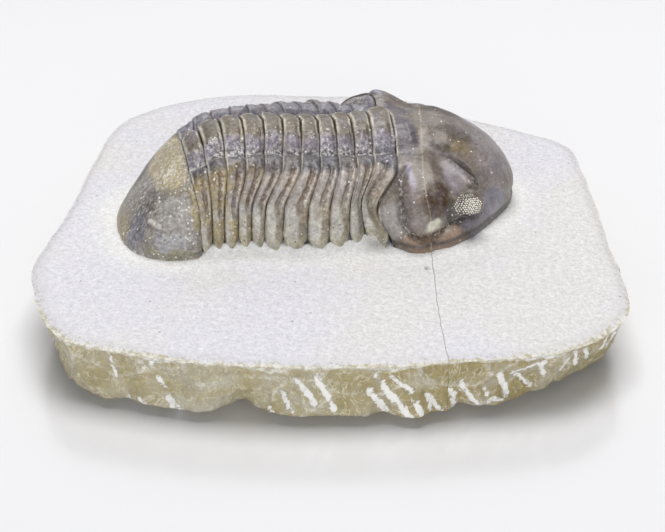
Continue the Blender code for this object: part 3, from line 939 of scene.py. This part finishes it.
def makeHead(finish):
    count = headPlan["sidePoints"]
    first = bodyRow(headJoint[0], 0.0, -0.02, count, headRelief)
    spin = np.arctan2(first[:, 1], first[:, 2])
    spin[[0, -1]] = math.pi / 2, -math.pi / 2
    sweep = first[:, 0] - headJoint[0]
    starts, directions = [], []
    for share in np.linspace(0, 1, headPlan["uprightRows"] + 1)[1:]:
        start = np.zeros((len(spin), 3))
        start[:, 0] = headJoint[0] + (headPlan["centre"] - headJoint[0]) * share + sweep * (1 - share)
        starts.append(start)
        directions.append(np.stack([spin * 0, np.sin(spin), np.cos(spin)], axis=1))
    for lean in np.radians(np.linspace(0, 89.6, headPlan["leaningRows"] + 1)[1:]):
        starts.append(np.tile((headPlan["centre"], 0.0, 0.0), (len(spin), 1)))
        flat = math.cos(lean)
        directions.append(np.stack([spin * 0 + math.sin(lean), np.sin(spin) * flat, np.cos(spin) * flat], axis=1))
    starts, directions = np.array(starts), np.array(directions)
    rows = starts + directions * surfaceAlong(starts, directions)[..., None]
    rows = np.concatenate([first[None], rows])
    s, v, z = rows[..., 0], np.abs(rows[..., 1]), rows[..., 2]
    cheeks, glabella, lid, lens = headParts(s, rows[..., 1], z)
    onLid = 1 - ease((lid + 0.3) / 1.0)
    coarse, fine = headPlan["lumps"]
    world = sculpt(rows, 600, coarse, fine * (1 - onLid))
    piece = addGrid("headShield", world)
    cloud = lumps(rows, 2.6, 603, 3)
    speck = lumps(rows, 0.8, 604, 3)
    tint = np.broadcast_to(fromHex(headColours["base"]), rows.shape)
    tint = paintPatches(tint, rows, headColours["patches"], 607)
    storeColours(piece, "shellTint", tint * (1 + 0.09 * cloud)[..., None])

    # painted shade in the axial, eye and border furrows, at the rear joint and along the foot where it meets the
    # stone
    axial = bump(cheeks - glabella, 0.45) * ease((s - 44.0) / 2.0) * (1 - ease((s - 48.5) / 2))
    lidEdge = bump(np.minimum(cheeks, glabella) - lens, 0.45)
    aheadOfJoint = s - swept(headJoint[0], 0.5 * np.clip(v / 8, 0, 1.4))
    border = bump(fromBorder(s, v, z), 0.5) * borderShare(s, v)
    joint = np.exp(-np.arange(len(rows)) / 2.0)[:, None] * (1 - 0.8 * ease(rows[..., 1] / 1.5))
    contact = bump(z - 0.8, 0.45)
    axial = axial * (1 - 0.6 * ease(rows[..., 1] / 2))
    furrow = 0.55 * axial + 0.5 * lidEdge + 0.75 * border + 0.85 * joint + 0.9 * contact
    # pale crystal grains, partly painted glints, in the furrows and as flecks
    crystals = 0.25 * axial + 0.1 * lidEdge + 0.35 * border + 0.06
    crystals += 0.4 * bump(aheadOfJoint - 1.2, 0.8) * bump(v - 9.5, 2.5)
    flecksAndGlints = 0.08 + 0.4 * cloud + 0.5 * border + 0.45 * axial
    flecksAndGlints += 0.3 * bump(awayFrom(rows, (41.3, -14.0, 3.6)), 1.8)
    storeShades(piece, np.clip(flecksAndGlints * (1 - 0.8 * onLid), 0.03, 1), crackAway(world), furrow=furrow,
                rust=0.4 * axial * speck + 0.25 * cloud * ease((v - 8) / 3),
                crystal=crystals * (0.8 + speck), rim=0.6 * bump(aheadOfJoint - 0.35, 0.12))
    closeUnder(piece, 44.0, 1.5)
    finishPiece(piece, finish, "head_shell", "cephalon")
    return piece


headLook = shellLook | {"mottle": 0.4, "grain": 0.5, "patchScale": 480, "roughness": 0.32}
headShield = makeHead(shellMaterial("headShell", headLook))
print("head done")

# ---------- eyes: rows of round lenses on the outer face of each eye lobe

eyePlan = {
    "pitch": 0.31,
    "lensRadius": 0.128,
    "rows": 13,
    "columns": 15,
    "sunk": 0.35,  # how far a lens sits in the lid, as a share of its radius
    "centre": (46.9, 13.6, 5.75),  # the middle of the lens field on the near side
    "facing": 24.0,  # how far it looks up, in degrees
    "halfLength": 1.9,
    "halfHeight": 1.55,
}


def lensMaterial():
    finish, shader = newMaterial("eyeLens")
    place = addNode("ShaderNodeTexCoord", {}).outputs["Object"]
    cloudy = noiseOn(place, 1600, 4)
    colour = mixColours(stretch(cloudy, 0.35, 0.65), rgb("#E4DFD2"), rgb("#FBF8F0"))
    tree.links.new(colour, shader.inputs["Base Color"])
    tree.links.new(stretch(cloudy, 0.3, 0.7, 0.25, 0.5), shader.inputs["Roughness"])
    return finish


def makeEye(side, head, finish):
    points = [corner.co.copy() for corner in head.data.vertices]
    faces = [tuple(face.vertices) for face in head.data.polygons]
    surface = BVHTree.FromPolygons(points, faces)
    turn, tilt = math.radians(bodyPlan["heading"]), math.radians(eyePlan["facing"])
    along = Vector((math.cos(turn), math.sin(turn), 0))
    sideways = Vector((-math.sin(turn), math.cos(turn), 0)) * side
    outward = sideways * math.cos(tilt) + Vector((0, 0, math.sin(tilt)))
    upward = Vector((0, 0, math.cos(tilt))) - sideways * math.sin(tilt)
    s, v, z = eyePlan["centre"]
    middle = Vector(pointInWorld(s, v * side, z))
    deselectAll()
    bpy.ops.mesh.primitive_uv_sphere_add(segments=10, ring_count=6, radius=eyePlan["lensRadius"] * mm)
    lens = bpy.context.active_object
    copies = []
    for row in range(eyePlan["rows"]):
        for column in range(eyePlan["columns"]):
            a = (column - (eyePlan["columns"] - 1) / 2 + 0.5 * (row % 2)) * eyePlan["pitch"]
            b = (row - (eyePlan["rows"] - 1) / 2) * eyePlan["pitch"] * 0.88
            a += 0.03 * math.sin(row * 2.1 + column * 3.7)
            b += 0.03 * math.sin(row * 3.3 + column * 1.9)
            if (a / eyePlan["halfLength"]) ** 2 + (b / eyePlan["halfHeight"]) ** 2 > 1:
                continue
            start = middle + (along * a + upward * b + outward * 5) * mm
            hit, normal, *rest = surface.ray_cast(start, -outward)
            if hit is None or normal.dot(outward) < 0.3:
                continue
            copies.append(hit - normal * eyePlan["lensRadius"] * eyePlan["sunk"] * mm)
    for at in copies:
        copy = lens.copy()
        copy.data = lens.data.copy()
        copy.location = at
        bpy.context.scene.collection.objects.link(copy)
        copy.select_set(True)
    lens.select_set(False)
    bpy.context.view_layer.objects.active = copy
    bpy.ops.object.join()
    eye = bpy.context.active_object
    bpy.ops.object.transform_apply(location=True, rotation=True, scale=True)
    bpy.data.objects.remove(lens)
    eye.name = "eyeLensesNear" if side < 0 else "eyeLensesFar"
    eye.data.name = eye.name
    bpy.ops.object.shade_smooth()
    finishPiece(eye, finish, "head_shell")
    print(eye.name, len(copies), "lenses")


lensFinish = lensMaterial()
for side in (-1, 1):
    makeEye(side, headShield, lensFinish)

# ---------- slab of limestone

slabPlan = {
    "outline": [
        (-39.9, -14.1), (-39.0, -20.5), (-36.4, -28.9), (-32.0, -33.6), (-22.1, -36.9),
        (-9.5, -39.0), (2.9, -39.3), (15.4, -38.2), (28.0, -36.2), (34.7, -32.8),
        (39.0, -27.2), (39.9, -21.5), (39.1, -10.5), (38.7, 0.0), (37.6, 13.9),
        (36.4, 21.2), (30.3, 26.2), (20.5, 31.8), (11.5, 37.7), (-4.4, 39.3),
        (-17.2, 39.1), (-27.9, 33.9), (-33.1, 26.5), (-35.3, 12.6), (-37.0, 0.5),
    ],
    "undercut": [
        5.0, 5.2, 4.8, 3.2, 1.5, 3.4, 2.0, 2.6, 5.4, 6.4, 5.6, 4.6, 3.0,
        2.2, 2.6, 3.0, 2.4, 2.8, 3.2, 2.2, 2.6, 3.0, 2.4, 2.8, 3.2,
    ],
    "standOff": 0.17,  # share of the height below which the wall turns in under itself
    "underCurl": 5.0,
    "footShift": -2.3,  # foot of the wall from the undercut above, before it turns in
    "startAt": 2.6,  # which outline point the near left corner of the grid goes to
    "across": 226,
    "levels": 30,
    "rim": 0.2,
    "chipping": 0.22,
    "scarSize": (8.5, 6.0),  # flake scars on the wall: along it, and up it
    "scarDepth": 1.1,
    "berm": 0.36,  # how high the stone is left against the animal's side
    "fill": 0.7,  # and how high between the tips of its plates
    # notches and knobs at the foot of the near wall: x, how far in, half their width
    "footNotches": [(-11.2, 2.6, 2.4), (-5.6, -0.5, 2.0), (7.1, 1.0, 1.2), (10.9, -1.0, 1.8), (17.4, 1.3, 1.3),
                    (21.8, -0.6, 2.2), (26.4, 0.2, 1.8), (31.0, 0.6, 2.2), (35.0, 0.2, 2.4), (-26.0, 0.8, 1.5)],
}

# chisel strokes on the near wall, each from (x, height) to (x, height), and its width, mm
chiselStrokes = [
    (-3.6, 7.0, -1.6, 3.5, 0.8), (-1.3, 7.7, 0.9, 2.8, 0.8), (-5.6, 4.8, -4.3, 2.3, 0.5),
    (-7.2, 2.4, -6.4, 1.3, 0.4), (-21.4, 5.8, -20.5, 4.2, 0.4), (-20.2, 2.9, -18.7, 0.7, 0.6),
    (-19.9, 3.2, -18.0, 1.2, 0.4), (-25.2, 2.0, -24.6, 1.0, 0.3), (-23.9, 2.2, -22.3, 0.9, 0.4),
    (-27.7, 8.6, -27.2, 6.8, 0.25), (-27.2, 6.8, -26.7, 5.2, 0.2), (-21.1, 8.9, -22.3, 7.6, 0.35),
    (-22.3, 7.6, -23.9, 6.4, 0.25), (5.5, 5.1, 7.4, 2.1, 0.8), (7.0, 6.4, 8.4, 3.6, 0.7),
    (8.0, 4.6, 10.6, 1.6, 0.85), (8.2, 7.2, 10.6, 5.0, 0.6), (11.2, 3.6, 12.0, 2.0, 0.6),
    (12.8, 4.2, 14.6, 1.6, 0.5), (12.7, 4.2, 13.2, 2.0, 0.4), (15.7, 4.8, 16.3, 2.1, 0.6),
    (16.9, 5.4, 18.4, 2.8, 0.85), (18.4, 2.9, 19.4, 1.9, 0.45), (20.0, 4.4, 20.6, 2.4, 0.3),
    (20.6, 2.9, 22.4, 2.4, 0.3), (21.8, 6.4, 22.8, 3.0, 0.7), (23.4, 6.2, 27.6, 7.2, 0.45),
    (24.0, 5.8, 26.0, 3.2, 0.55), (27.2, 6.8, 27.8, 4.2, 0.5), (25.4, 8.6, 28.4, 8.3, 0.5),
    (22.4, 6.9, 23.2, 8.6, 0.2), (6.4, 8.4, 6.0, 6.6, 0.2), (30.6, 7.4, 29.8, 5.0, 0.5),
    (31.6, 8.2, 31.9, 5.0, 0.5), (33.0, 7.9, 33.6, 4.6, 0.5), (35.3, 5.2, 36.0, 7.8, 0.5),
    (36.2, 5.0, 37.0, 8.0, 0.45),
]


noStroke = 5.0  # stored where no stroke is near, mm


def roundThrough(points, samples):
    # closed smooth curve through points
    corners = np.array(points, dtype=float)
    after = np.roll(corners, -1, axis=0)
    pull = (after - np.roll(corners, 1, axis=0)) / 2
    parts = []
    for step in range(samples):
        t = step / samples
        parts.append(
            corners * (2 * t**3 - 3 * t**2 + 1)
            + pull * (t**3 - 2 * t**2 + t)
            + after * (3 * t**2 - 2 * t**3)
            + np.roll(pull, -1, axis=0) * (t**3 - t**2)
        )
    return np.stack(parts, axis=1).reshape(-1, corners.shape[1])


def rimCurve():
    samples = 24
    rim = [(*point, cut) for point, cut in zip(slabPlan["outline"], slabPlan["undercut"])]
    curve = roundThrough(rim, samples)
    chipped = np.stack([lumps(curve * (1, 1, 0), 1.8, 731 + k, 3) for k in range(2)], axis=-1)
    curve[:, :2] += chipped * slabPlan["chipping"]
    curve = np.roll(curve, -int(slabPlan["startAt"] * samples), axis=0)
    curve = np.concatenate([curve, curve[:1]])
    run = np.concatenate([[0.0], np.cumsum(np.hypot(*np.diff(curve[:, :2], axis=0).T))])
    return run / run[-1], curve


def alongRim(share):
    runs, curve = rimCurve()
    return np.stack([np.interp(share % 1, runs, curve[:, k]) for k in range(3)], axis=-1)


def inwardAt(share):
    along = alongRim(share + 0.002) - alongRim(share - 0.002)
    inward = np.stack([-along[..., 1], along[..., 0]], axis=-1)
    return inward / np.linalg.norm(inward, axis=-1)[..., None]


def flakeScars(along, height, seed):
    # hollows knocked out of the wall: how deep at each point, and where two of them meet
    around = round(along.max() / slabPlan["scarSize"][0])
    u, w = along / along.max() * around, height / slabPlan["scarSize"][1]
    column, row = np.floor(u).astype(np.int64), np.floor(w).astype(np.int64)
    nearest, second = np.full(u.shape, 9.0), np.full(u.shape, 9.0)
    for i in (-1, 0, 1):
        for j in (-1, 0, 1):
            cell = (column + i) % around
            du = column + i + 0.5 + 0.45 * cornerValue(cell, row + j, 0, seed) - u
            dw = row + j + 0.5 + 0.45 * cornerValue(cell, row + j, 1, seed) - w
            away = np.hypot(du, dw)
            second = np.minimum(second, np.maximum(nearest, away))
            nearest = np.minimum(nearest, away)
    return clamp(1 - nearest**2 * 1.4), second - nearest


def footOutline():
    # the line where the animal's side goes into the stone, x and y, mm
    stations = np.linspace(0.3, 41.5, 90)
    side = [(float(swept(station, 1.0)), float(widthAt(station))) for station in stations]
    start, power = headPlan["curveFrom"], headPlan["roundness"]
    for ahead in np.linspace(0, 1, 40)[1:]:
        v = headPlan["footWidth"] * (1 - ahead**power) ** (1 / power)
        side.append((start + ahead * (headPlan["front"] - 0.2 - start), v))
    side = np.array(side)
    around = np.concatenate([side * (1, -1), side[::-1]])
    return np.stack(onSlab(around[:, 0], around[:, 1]), axis=1)


def segmentAway(points, start, end):
    along = np.subtract(end, start)
    share = np.clip((points - start) @ along / (along @ along), 0, 1)
    return np.linalg.norm(points - start - share[..., None] * along, axis=-1)


def outlineAway(points, outline):
    # distance to the outline, below zero inside it
    away = np.full(len(points), 1e9)
    inside = np.zeros(len(points), dtype=bool)
    for start, end in zip(outline, np.roll(outline, -1, axis=0)):
        if np.linalg.norm(end - start) < 1e-6:
            continue
        away = np.minimum(away, segmentAway(points, start, end))
        crosses = (start[1] > points[:, 1]) != (end[1] > points[:, 1])
        at = start[0] + (points[:, 1] - start[1]) / (end[1] - start[1] + 1e-12) * (end[0] - start[0])
        inside ^= crosses & (points[:, 0] < at)
    return np.where(inside, -away, away)


def spread(part, values, elsewhere=0.0):
    # numbers for one part of the slab's points, and one number for all the others
    full = np.full(len(part), elsewhere)
    full[part] = values
    return full


def makeSlab(finish):
    plan = slabPlan
    line = np.linspace(-1, 1, plan["across"])
    u, w = np.meshgrid(line, line)
    reach = np.maximum(np.abs(u), np.abs(w))
    safe = np.maximum(reach, 1e-9)
    share = np.select(
        [w <= -reach, u >= reach, w >= reach],
        [(u / safe + 1) / 2, 1 + (w / safe + 1) / 2, 2 + (1 - u / safe) / 2],
        3 + (1 - w / safe) / 2,
    ) / 4
    edge = alongRim(share)[..., :2] + inwardAt(share) * plan["rim"]
    flat = edge * reach[..., None]
    rows = np.concatenate([flat, np.full((*flat.shape[:2], 1), slabTop)], axis=-1)
    piece = addGrid("limestoneSlab", rows * mm)
    storeNumbers(piece, rimShare=share, topShare=1.0)

    # the broken wall: the rim is extruded down in steps, and the underside drawn in to its middle
    editOpenEdge(piece)
    step = slabTop * mm / plan["levels"]
    for level in range(plan["levels"]):
        bpy.ops.mesh.extrude_edges_move(TRANSFORM_OT_translate={"value": (0, 0, -step)})
    bpy.ops.mesh.extrude_edges_move(TRANSFORM_OT_translate={"value": (0, 0, 0)})
    bpy.ops.mesh.merge(type="CENTER")
    endEditing()

    total = len(piece.data.vertices)
    points = np.zeros(total * 3)
    piece.data.vertices.foreach_get("co", points)
    points = points.reshape(-1, 3) / mm
    shares = np.zeros(total, dtype=np.float32)
    piece.data.attributes["rimShare"].data.foreach_get("value", shares)
    top = np.arange(total) < plan["across"] ** 2
    middle = ~top & (np.hypot(points[:, 0], points[:, 1]) < 5)
    wall = ~top & ~middle

    # wall
    rim = alongRim(shares[wall].astype(float))
    inward = inwardAt(shares[wall].astype(float))
    height = clamp(points[wall, 2] / slabTop)
    place = np.concatenate([rim[:, :2], points[wall, 2:]], axis=1)
    foot = np.maximum(rim[:, 2] + plan["footShift"], 0.15)
    fallen = np.clip((1 - height) / (1 - plan["standOff"]), 0, 1)
    depth = foot * fallen**1.4
    depth += plan["underCurl"] * clamp(1 - height / plan["standOff"]) ** 0.8
    depth += plan["rim"] * ease((height - 0.96) / 0.04)
    along = shares[wall].astype(float) * 250
    drift = 1.2 * lumps(place, 4.0, 706, 2)
    hollow, meeting = flakeScars(np.clip(along + drift, 0.01, 250), height * slabTop + drift, 701)
    small = np.abs(lumps(place, 2.4, 702, 1)) * 0.4
    chips = lumps(place, 1.0, 703, 3) * 0.2 + lumps(place, 0.5, 704, 2) * 0.08
    free = ease((1.0 - height) / 0.12)
    near = (rim[:, 1] < -20).astype(float)
    atFoot = 1 - ease((height - plan["standOff"]) / 0.4)
    for x, inset, half in plan["footNotches"]:
        depth += near * inset * bump(rim[:, 0] - x, half) * atFoot
    hollow = hollow * (1 - 0.7 * near * atFoot)
    depth += (plan["scarDepth"] * (hollow - 0.45) + small + chips) * free + 0.15 * chips
    ragged = lumps(place * (1, 1, 0), 3.2, 705, 3)
    points[wall, :2] = rim[:, :2] + inward * depth[:, None]
    points[wall, 2] += np.where(height > 0.03, 0.25 * ragged * free, 0.0)
    foot = np.flatnonzero(wall & (points[:, 2] < 0.02))
    foot = foot[np.argsort(shares[foot])]
    line = points[foot, :2]
    for turn in range(200):  # evened out, so that it nowhere crosses itself
        line = (np.roll(line, 1, axis=0) + 2 * line + np.roll(line, -1, axis=0)) / 4
    points[foot, :2] = line

    # top: blasted flat, a little uneven, worn at the rim and left higher against the animal
    onTop = points[top]
    fromRim = (1 - reach.reshape(-1)) * 38
    uneven = 0.10 * lumps(onTop, 9.0, 711, 2) + 0.05 * lumps(onTop, 1.5, 712, 3) + 0.03 * lumps(onTop, 0.7, 713, 1)
    worn = -0.35 * (1 - ease(fromRim / (0.9 + 0.5 * lumps(onTop, 3.0, 714, 2))))
    away = outlineAway(onTop[:, :2], footOutline())
    turn = math.radians(bodyPlan["heading"])
    fromTail = onTop[:, :2] - bodyPlan["tailAt"]
    station = fromTail[:, 0] * math.cos(turn) + fromTail[:, 1] * math.sin(turn)
    tall = plan["berm"] * (0.3 + 0.7 * ease((station - 9) / 3) * (1 - ease((station - 35) / 3)))
    berm = tall * (1 - ease((away + 0.3) / 1.7)) * (1 + 0.35 * lumps(onTop, 1.0, 715, 2))
    berm += 0.16 * bump(away - 0.8, 1.4) * np.abs(lumps(onTop, 0.7, 716, 2))
    between = ease((station - 10) / 1.5) * (1 - ease((station - 35) / 2)) * (1 - ease((away + 0.5) / 0.9))
    berm += plan["fill"] * between * (1 + 0.5 * lumps(onTop, 0.6, 717, 2))
    crack = crackAway(onTop * mm)
    points[top, 2] += uneven + worn + berm - 0.10 * bump(crack, 0.2)
    pit = np.linalg.norm((onTop[:, :2] - (13.5, -14.9)) / (0.42, 0.75), axis=1)
    points[top, 2] -= 0.45 * bump(pit, 0.8)
    piece.data.vertices.foreach_set("co", (points * mm).reshape(-1))
    piece.data.update()

    # what the material needs to know
    topShare = np.zeros(total)
    broken = 0.9 + 0.6 * lumps(onTop, 4.0, 723, 3)
    topShare[top] = 1 - 0.8 * (1 - ease(fromRim / broken)) * ease((-15 - onTop[:, 1]) / 15)
    topShare[wall] = (0.2 + 0.8 * ease((rim[:, 1] + 30) / 15)) * ease((height - 0.93) / 0.07)
    piece.data.attributes["topShare"].data.foreach_set("value", topShare.astype(np.float32))
    wide = 0.75 + 1.1 * np.clip(lumps(place * (1, 1, 0), 5.0, 721, 2) + 0.1, -0.5, 1)
    band = ease((height * slabTop - slabTop + wide + 0.4 * ragged) / 0.5 + 0.5)
    under = points[:, 2] < 0.02  # the flat underside stays plain
    nearWall = wall & (points[:, 1] < -24)
    spots = points[nearWall][:, (0, 2)]
    strokes = np.full(len(spots), noStroke)
    for x1, z1, x2, z2, width in chiselStrokes:
        strokes = np.minimum(strokes, segmentAway(spots, (x1, z1), (x2, z2)) - width * 0.55)
    storeNumbers(
        piece,
        rimBand=spread(wall, band) + top,
        scarRidge=np.where(under, 0, spread(wall, bump(meeting, 0.07) * free)),
        oliveShare=np.where(under, 0.4, spread(wall, ease((points[wall, 0] + 4) / 22))),
        wornShare=spread(top, 1 - ease(fromRim / 2.2)),
        chalkAway=np.where(under, noStroke, spread(nearWall, strokes, noStroke)),
        crackAway=np.where(under, 99, crackAway(points * mm)),
        pitShade=spread(top, bump(pit, 0.8)),
        # lighter round the animal: freshly worked stone, partly painted light against the animal's shadow
        freshShare=spread(top, 1 - ease((away - 0.4) / 5.0)),
    )
    makeActive(piece)
    bpy.ops.object.shade_smooth_by_angle(angle=math.radians(45))
    finishPiece(piece, finish, "limestone", "matrix_slab")


slabLook = {
    "top": "#E5E4EB",
    "topWarm": "#E7E5E5",
    "fresh": "#F0F0F0",
    "side": "#BEB594",
    "sideGrey": "#C2BEB1",
    "sideDark": "#A89A6C",
    "sideOlive": "#A69765",
    "cream": "#EFEAD6",
    "chalk": "#FFFEFA",
    "speck": "#8C8470",
    "hole": "#8A8475",
    "crack": "#77705F",
    "pit": "#7A6A4C",
    "band": ("#BDB69E", "#E9E7DF"),  # the bruised band along the rim
    "roughness": (0.42, 0.95),  # of the broken wall and of the blasted top
    "relief": 0.00022,
}


def slabMaterial(look):
    finish, shader = newMaterial("slabLimestone")
    place = addNode("ShaderNodeTexCoord", {}).outputs["Object"]
    wide = noiseOn(place, 45, 3)
    cloudy = noiseOn(place, 190, 5, 0.6, 0.8)
    smear = noiseOn(place, 700, 5, 0.7, 1.5)
    grain = noiseOn(place, 1300, 5, 0.7)
    fineSpeckle = noiseOn(place, 3000, 4, 0.7)

    top = mixColours(stretch(wide, 0.45, 0.62), rgb(look["top"]), rgb(look["topWarm"]))
    # lighter round the animal: freshly worked stone, partly painted light against the animal's shadow
    top = mixColours(attribute("freshShare"), top, rgb(look["fresh"]))
    speckle = stretch(grain, 0.35, 0.65, 0.88, 1.08)
    top = shade(top, times(speckle, stretch(fineSpeckle, 0.35, 0.65, 0.86, 1.09)))
    holes = fleckMask(place, 420, 0.09, 0.3)
    top = mixColours(times(holes, 0.6), top, rgb(look["hole"]))
    rubbed = times(attribute("wornShare"), stretch(fineSpeckle, 0.50, 0.62))
    top = mixColours(times(rubbed, 0.6), top, rgb(look["speck"]))

    plain = mixColours(attribute("oliveShare"), rgb(look["side"]), rgb(look["sideOlive"]))
    side = mixColours(stretch(cloudy, 0.46, 0.62, 0, 0.9), plain, rgb(look["sideGrey"]))
    side = mixColours(stretch(cloudy, 0.44, 0.30), side, rgb(look["sideDark"]))
    bent = addNode("ShaderNodeVectorMath", {0: place, 1: (0.006, 0.006, 0.003)}, operation="ADD").outputs[0]
    facets = addNode("ShaderNodeTexVoronoi", {"Vector": bent, "Scale": 150, "Randomness": 1.0}).outputs["Color"]
    facets = addNode("ShaderNodeSeparateColor", {"Color": facets}).outputs[0]
    side = mixColours(stretch(facets, 0.0, 1.0, 0.45, 0.0), side, rgb(look["sideDark"]))
    side = mixColours(stretch(smear, 0.56, 0.72, 0, 0.5), side, rgb(look["cream"]))
    veins = maths("ABSOLUTE", maths("SUBTRACT", noiseOn(place, 240, 4, 0.6, 1.5), 0.5))
    side = mixColours(stretch(veins, 0.016, 0.004, 0, 0.55), side, rgb(look["cream"]))
    side = shade(side, stretch(grain, 0.3, 0.7, 0.82, 1.12))

    cream = mixColours(stretch(grain, 0.40, 0.58), *map(rgb, look["band"]))
    edges = times(attribute("scarRidge"), stretch(smear, 0.40, 0.56))
    side = mixColours(times(edges, 0.8), side, cream)
    worn = plus(attribute("rimBand"), stretch(smear, 0.3, 0.7, -0.45, 0.45))
    side = mixColours(stretch(worn, 0.38, 0.62), side, cream)
    edge = plus(attribute("topShare"), stretch(grain, 0.3, 0.7, -0.35, 0.35))
    colour = mixColours(stretch(edge, 0.45, 0.6), side, top)

    stroke = plus(attribute("chalkAway"), stretch(smear, 0.3, 0.7, -0.36, 0.34))
    stroke = stretch(stroke, 0.06, -0.05)
    stroke = times(stroke, stretch(grain, 0.32, 0.43, 0.45, 1.0))
    colour = mixColours(stroke, colour, rgb(look["chalk"]))
    wobble = stretch(noiseOn(place, 500, 3), 0.3, 0.7, -0.10, 0.10)
    crack = maths("ABSOLUTE", plus(attribute("crackAway"), wobble))
    crack = times(stretch(crack, 0.09, 0.02), stretch(grain, 0.38, 0.52, 0.2, 0.75))
    colour = mixColours(crack, colour, rgb(look["crack"]))
    colour = mixColours(stretch(attribute("pitShade"), 0.3, 0.8), colour, rgb(look["pit"]))

    rough = stretch(attribute("topShare"), 0, 1, *look["roughness"])
    height = plus(grain, times(fineSpeckle, 0.5))
    finishShader(shader, colour, rough, plus(height, times(stroke, 0.5)), look["relief"])
    return finish


makeSlab(slabMaterial(slabLook))
print("slab done")

# ---------- floor, light and camera

studio = {
    "floorSize": 4.0,
    "worldColour": (0.88, 0.92, 1.0),
    "worldStrength": 0.22,
    "lightColour": (1.0, 0.985, 0.955),
    # x, y, z, width and height in metres, power in watts
    "topLight": (0.02, 0.07, 0.55, 0.34, 0.34, 2.52),
    "backLight": (0.0, 0.93, 0.58, 1.30, 0.55, 2.6),
    "frontLight": (-0.03, -0.60, 0.13, 1.20, 0.22, 2.4),
    "floorColour": (0.80, 0.80, 0.83),
    "floorRoughness": 0.2,
    "floorRefraction": 1.85,
    "cameraTilt": 30.5,  # how far it looks down, in degrees
    "cameraAt": (0.743, -14.65, 9.2),  # the point it looks at, mm
    "cameraAway": 0.260,
    "cameraLens": 104.156,
}


def makeFloor():
    deselectAll()
    bpy.ops.mesh.primitive_plane_add(size=studio["floorSize"], location=(0, 0, 0))
    floor = bpy.context.active_object
    floor.name = "studioFloor"
    finish, shader = newMaterial("glossyWhite")
    shader.inputs["Base Color"].default_value = (*studio["floorColour"], 1)
    shader.inputs["Roughness"].default_value = studio["floorRoughness"]
    shader.inputs["IOR"].default_value = studio["floorRefraction"]
    floor.data.materials.append(finish)


def addLight(name, x, y, z, width, height, power):
    deselectAll()
    bpy.ops.object.light_add(type="AREA", location=(x, y, z))
    lamp = bpy.context.active_object
    lamp.name = name
    lamp.data.shape = "RECTANGLE"
    lamp.data.size = width
    lamp.data.size_y = height
    lamp.data.energy = power
    lamp.data.color = studio["lightColour"]
    lamp.rotation_euler = (Vector((0, 0, 0.01)) - lamp.location).to_track_quat("-Z", "Y").to_euler()


def makeStudio():
    makeFloor()
    for side in ("top", "back", "front"):
        addLight(f"{side}Softbox", *studio[f"{side}Light"])
    world = bpy.data.worlds.new("studioWhite")
    world.use_nodes = True
    sky = world.node_tree.nodes["Background"]
    sky.inputs["Color"].default_value = (*studio["worldColour"], 1)
    sky.inputs["Strength"].default_value = studio["worldStrength"]
    bpy.context.scene.world = world
    bpy.context.scene.view_settings.view_transform = "Standard"


def makeCamera():
    tilt = math.radians(studio["cameraTilt"])
    lookAt = Vector(studio["cameraAt"]) * mm
    back = Vector((0, -math.cos(tilt), math.sin(tilt))) * studio["cameraAway"]
    deselectAll()
    bpy.ops.object.camera_add(location=lookAt + back)
    camera = bpy.context.active_object
    camera.rotation_euler = (math.pi / 2 - tilt, 0, 0)
    camera.data.lens = studio["cameraLens"]
    camera.data.sensor_width = 36
    camera.data.clip_start = 0.01
    bpy.context.scene.camera = camera


makeStudio()
makeCamera()
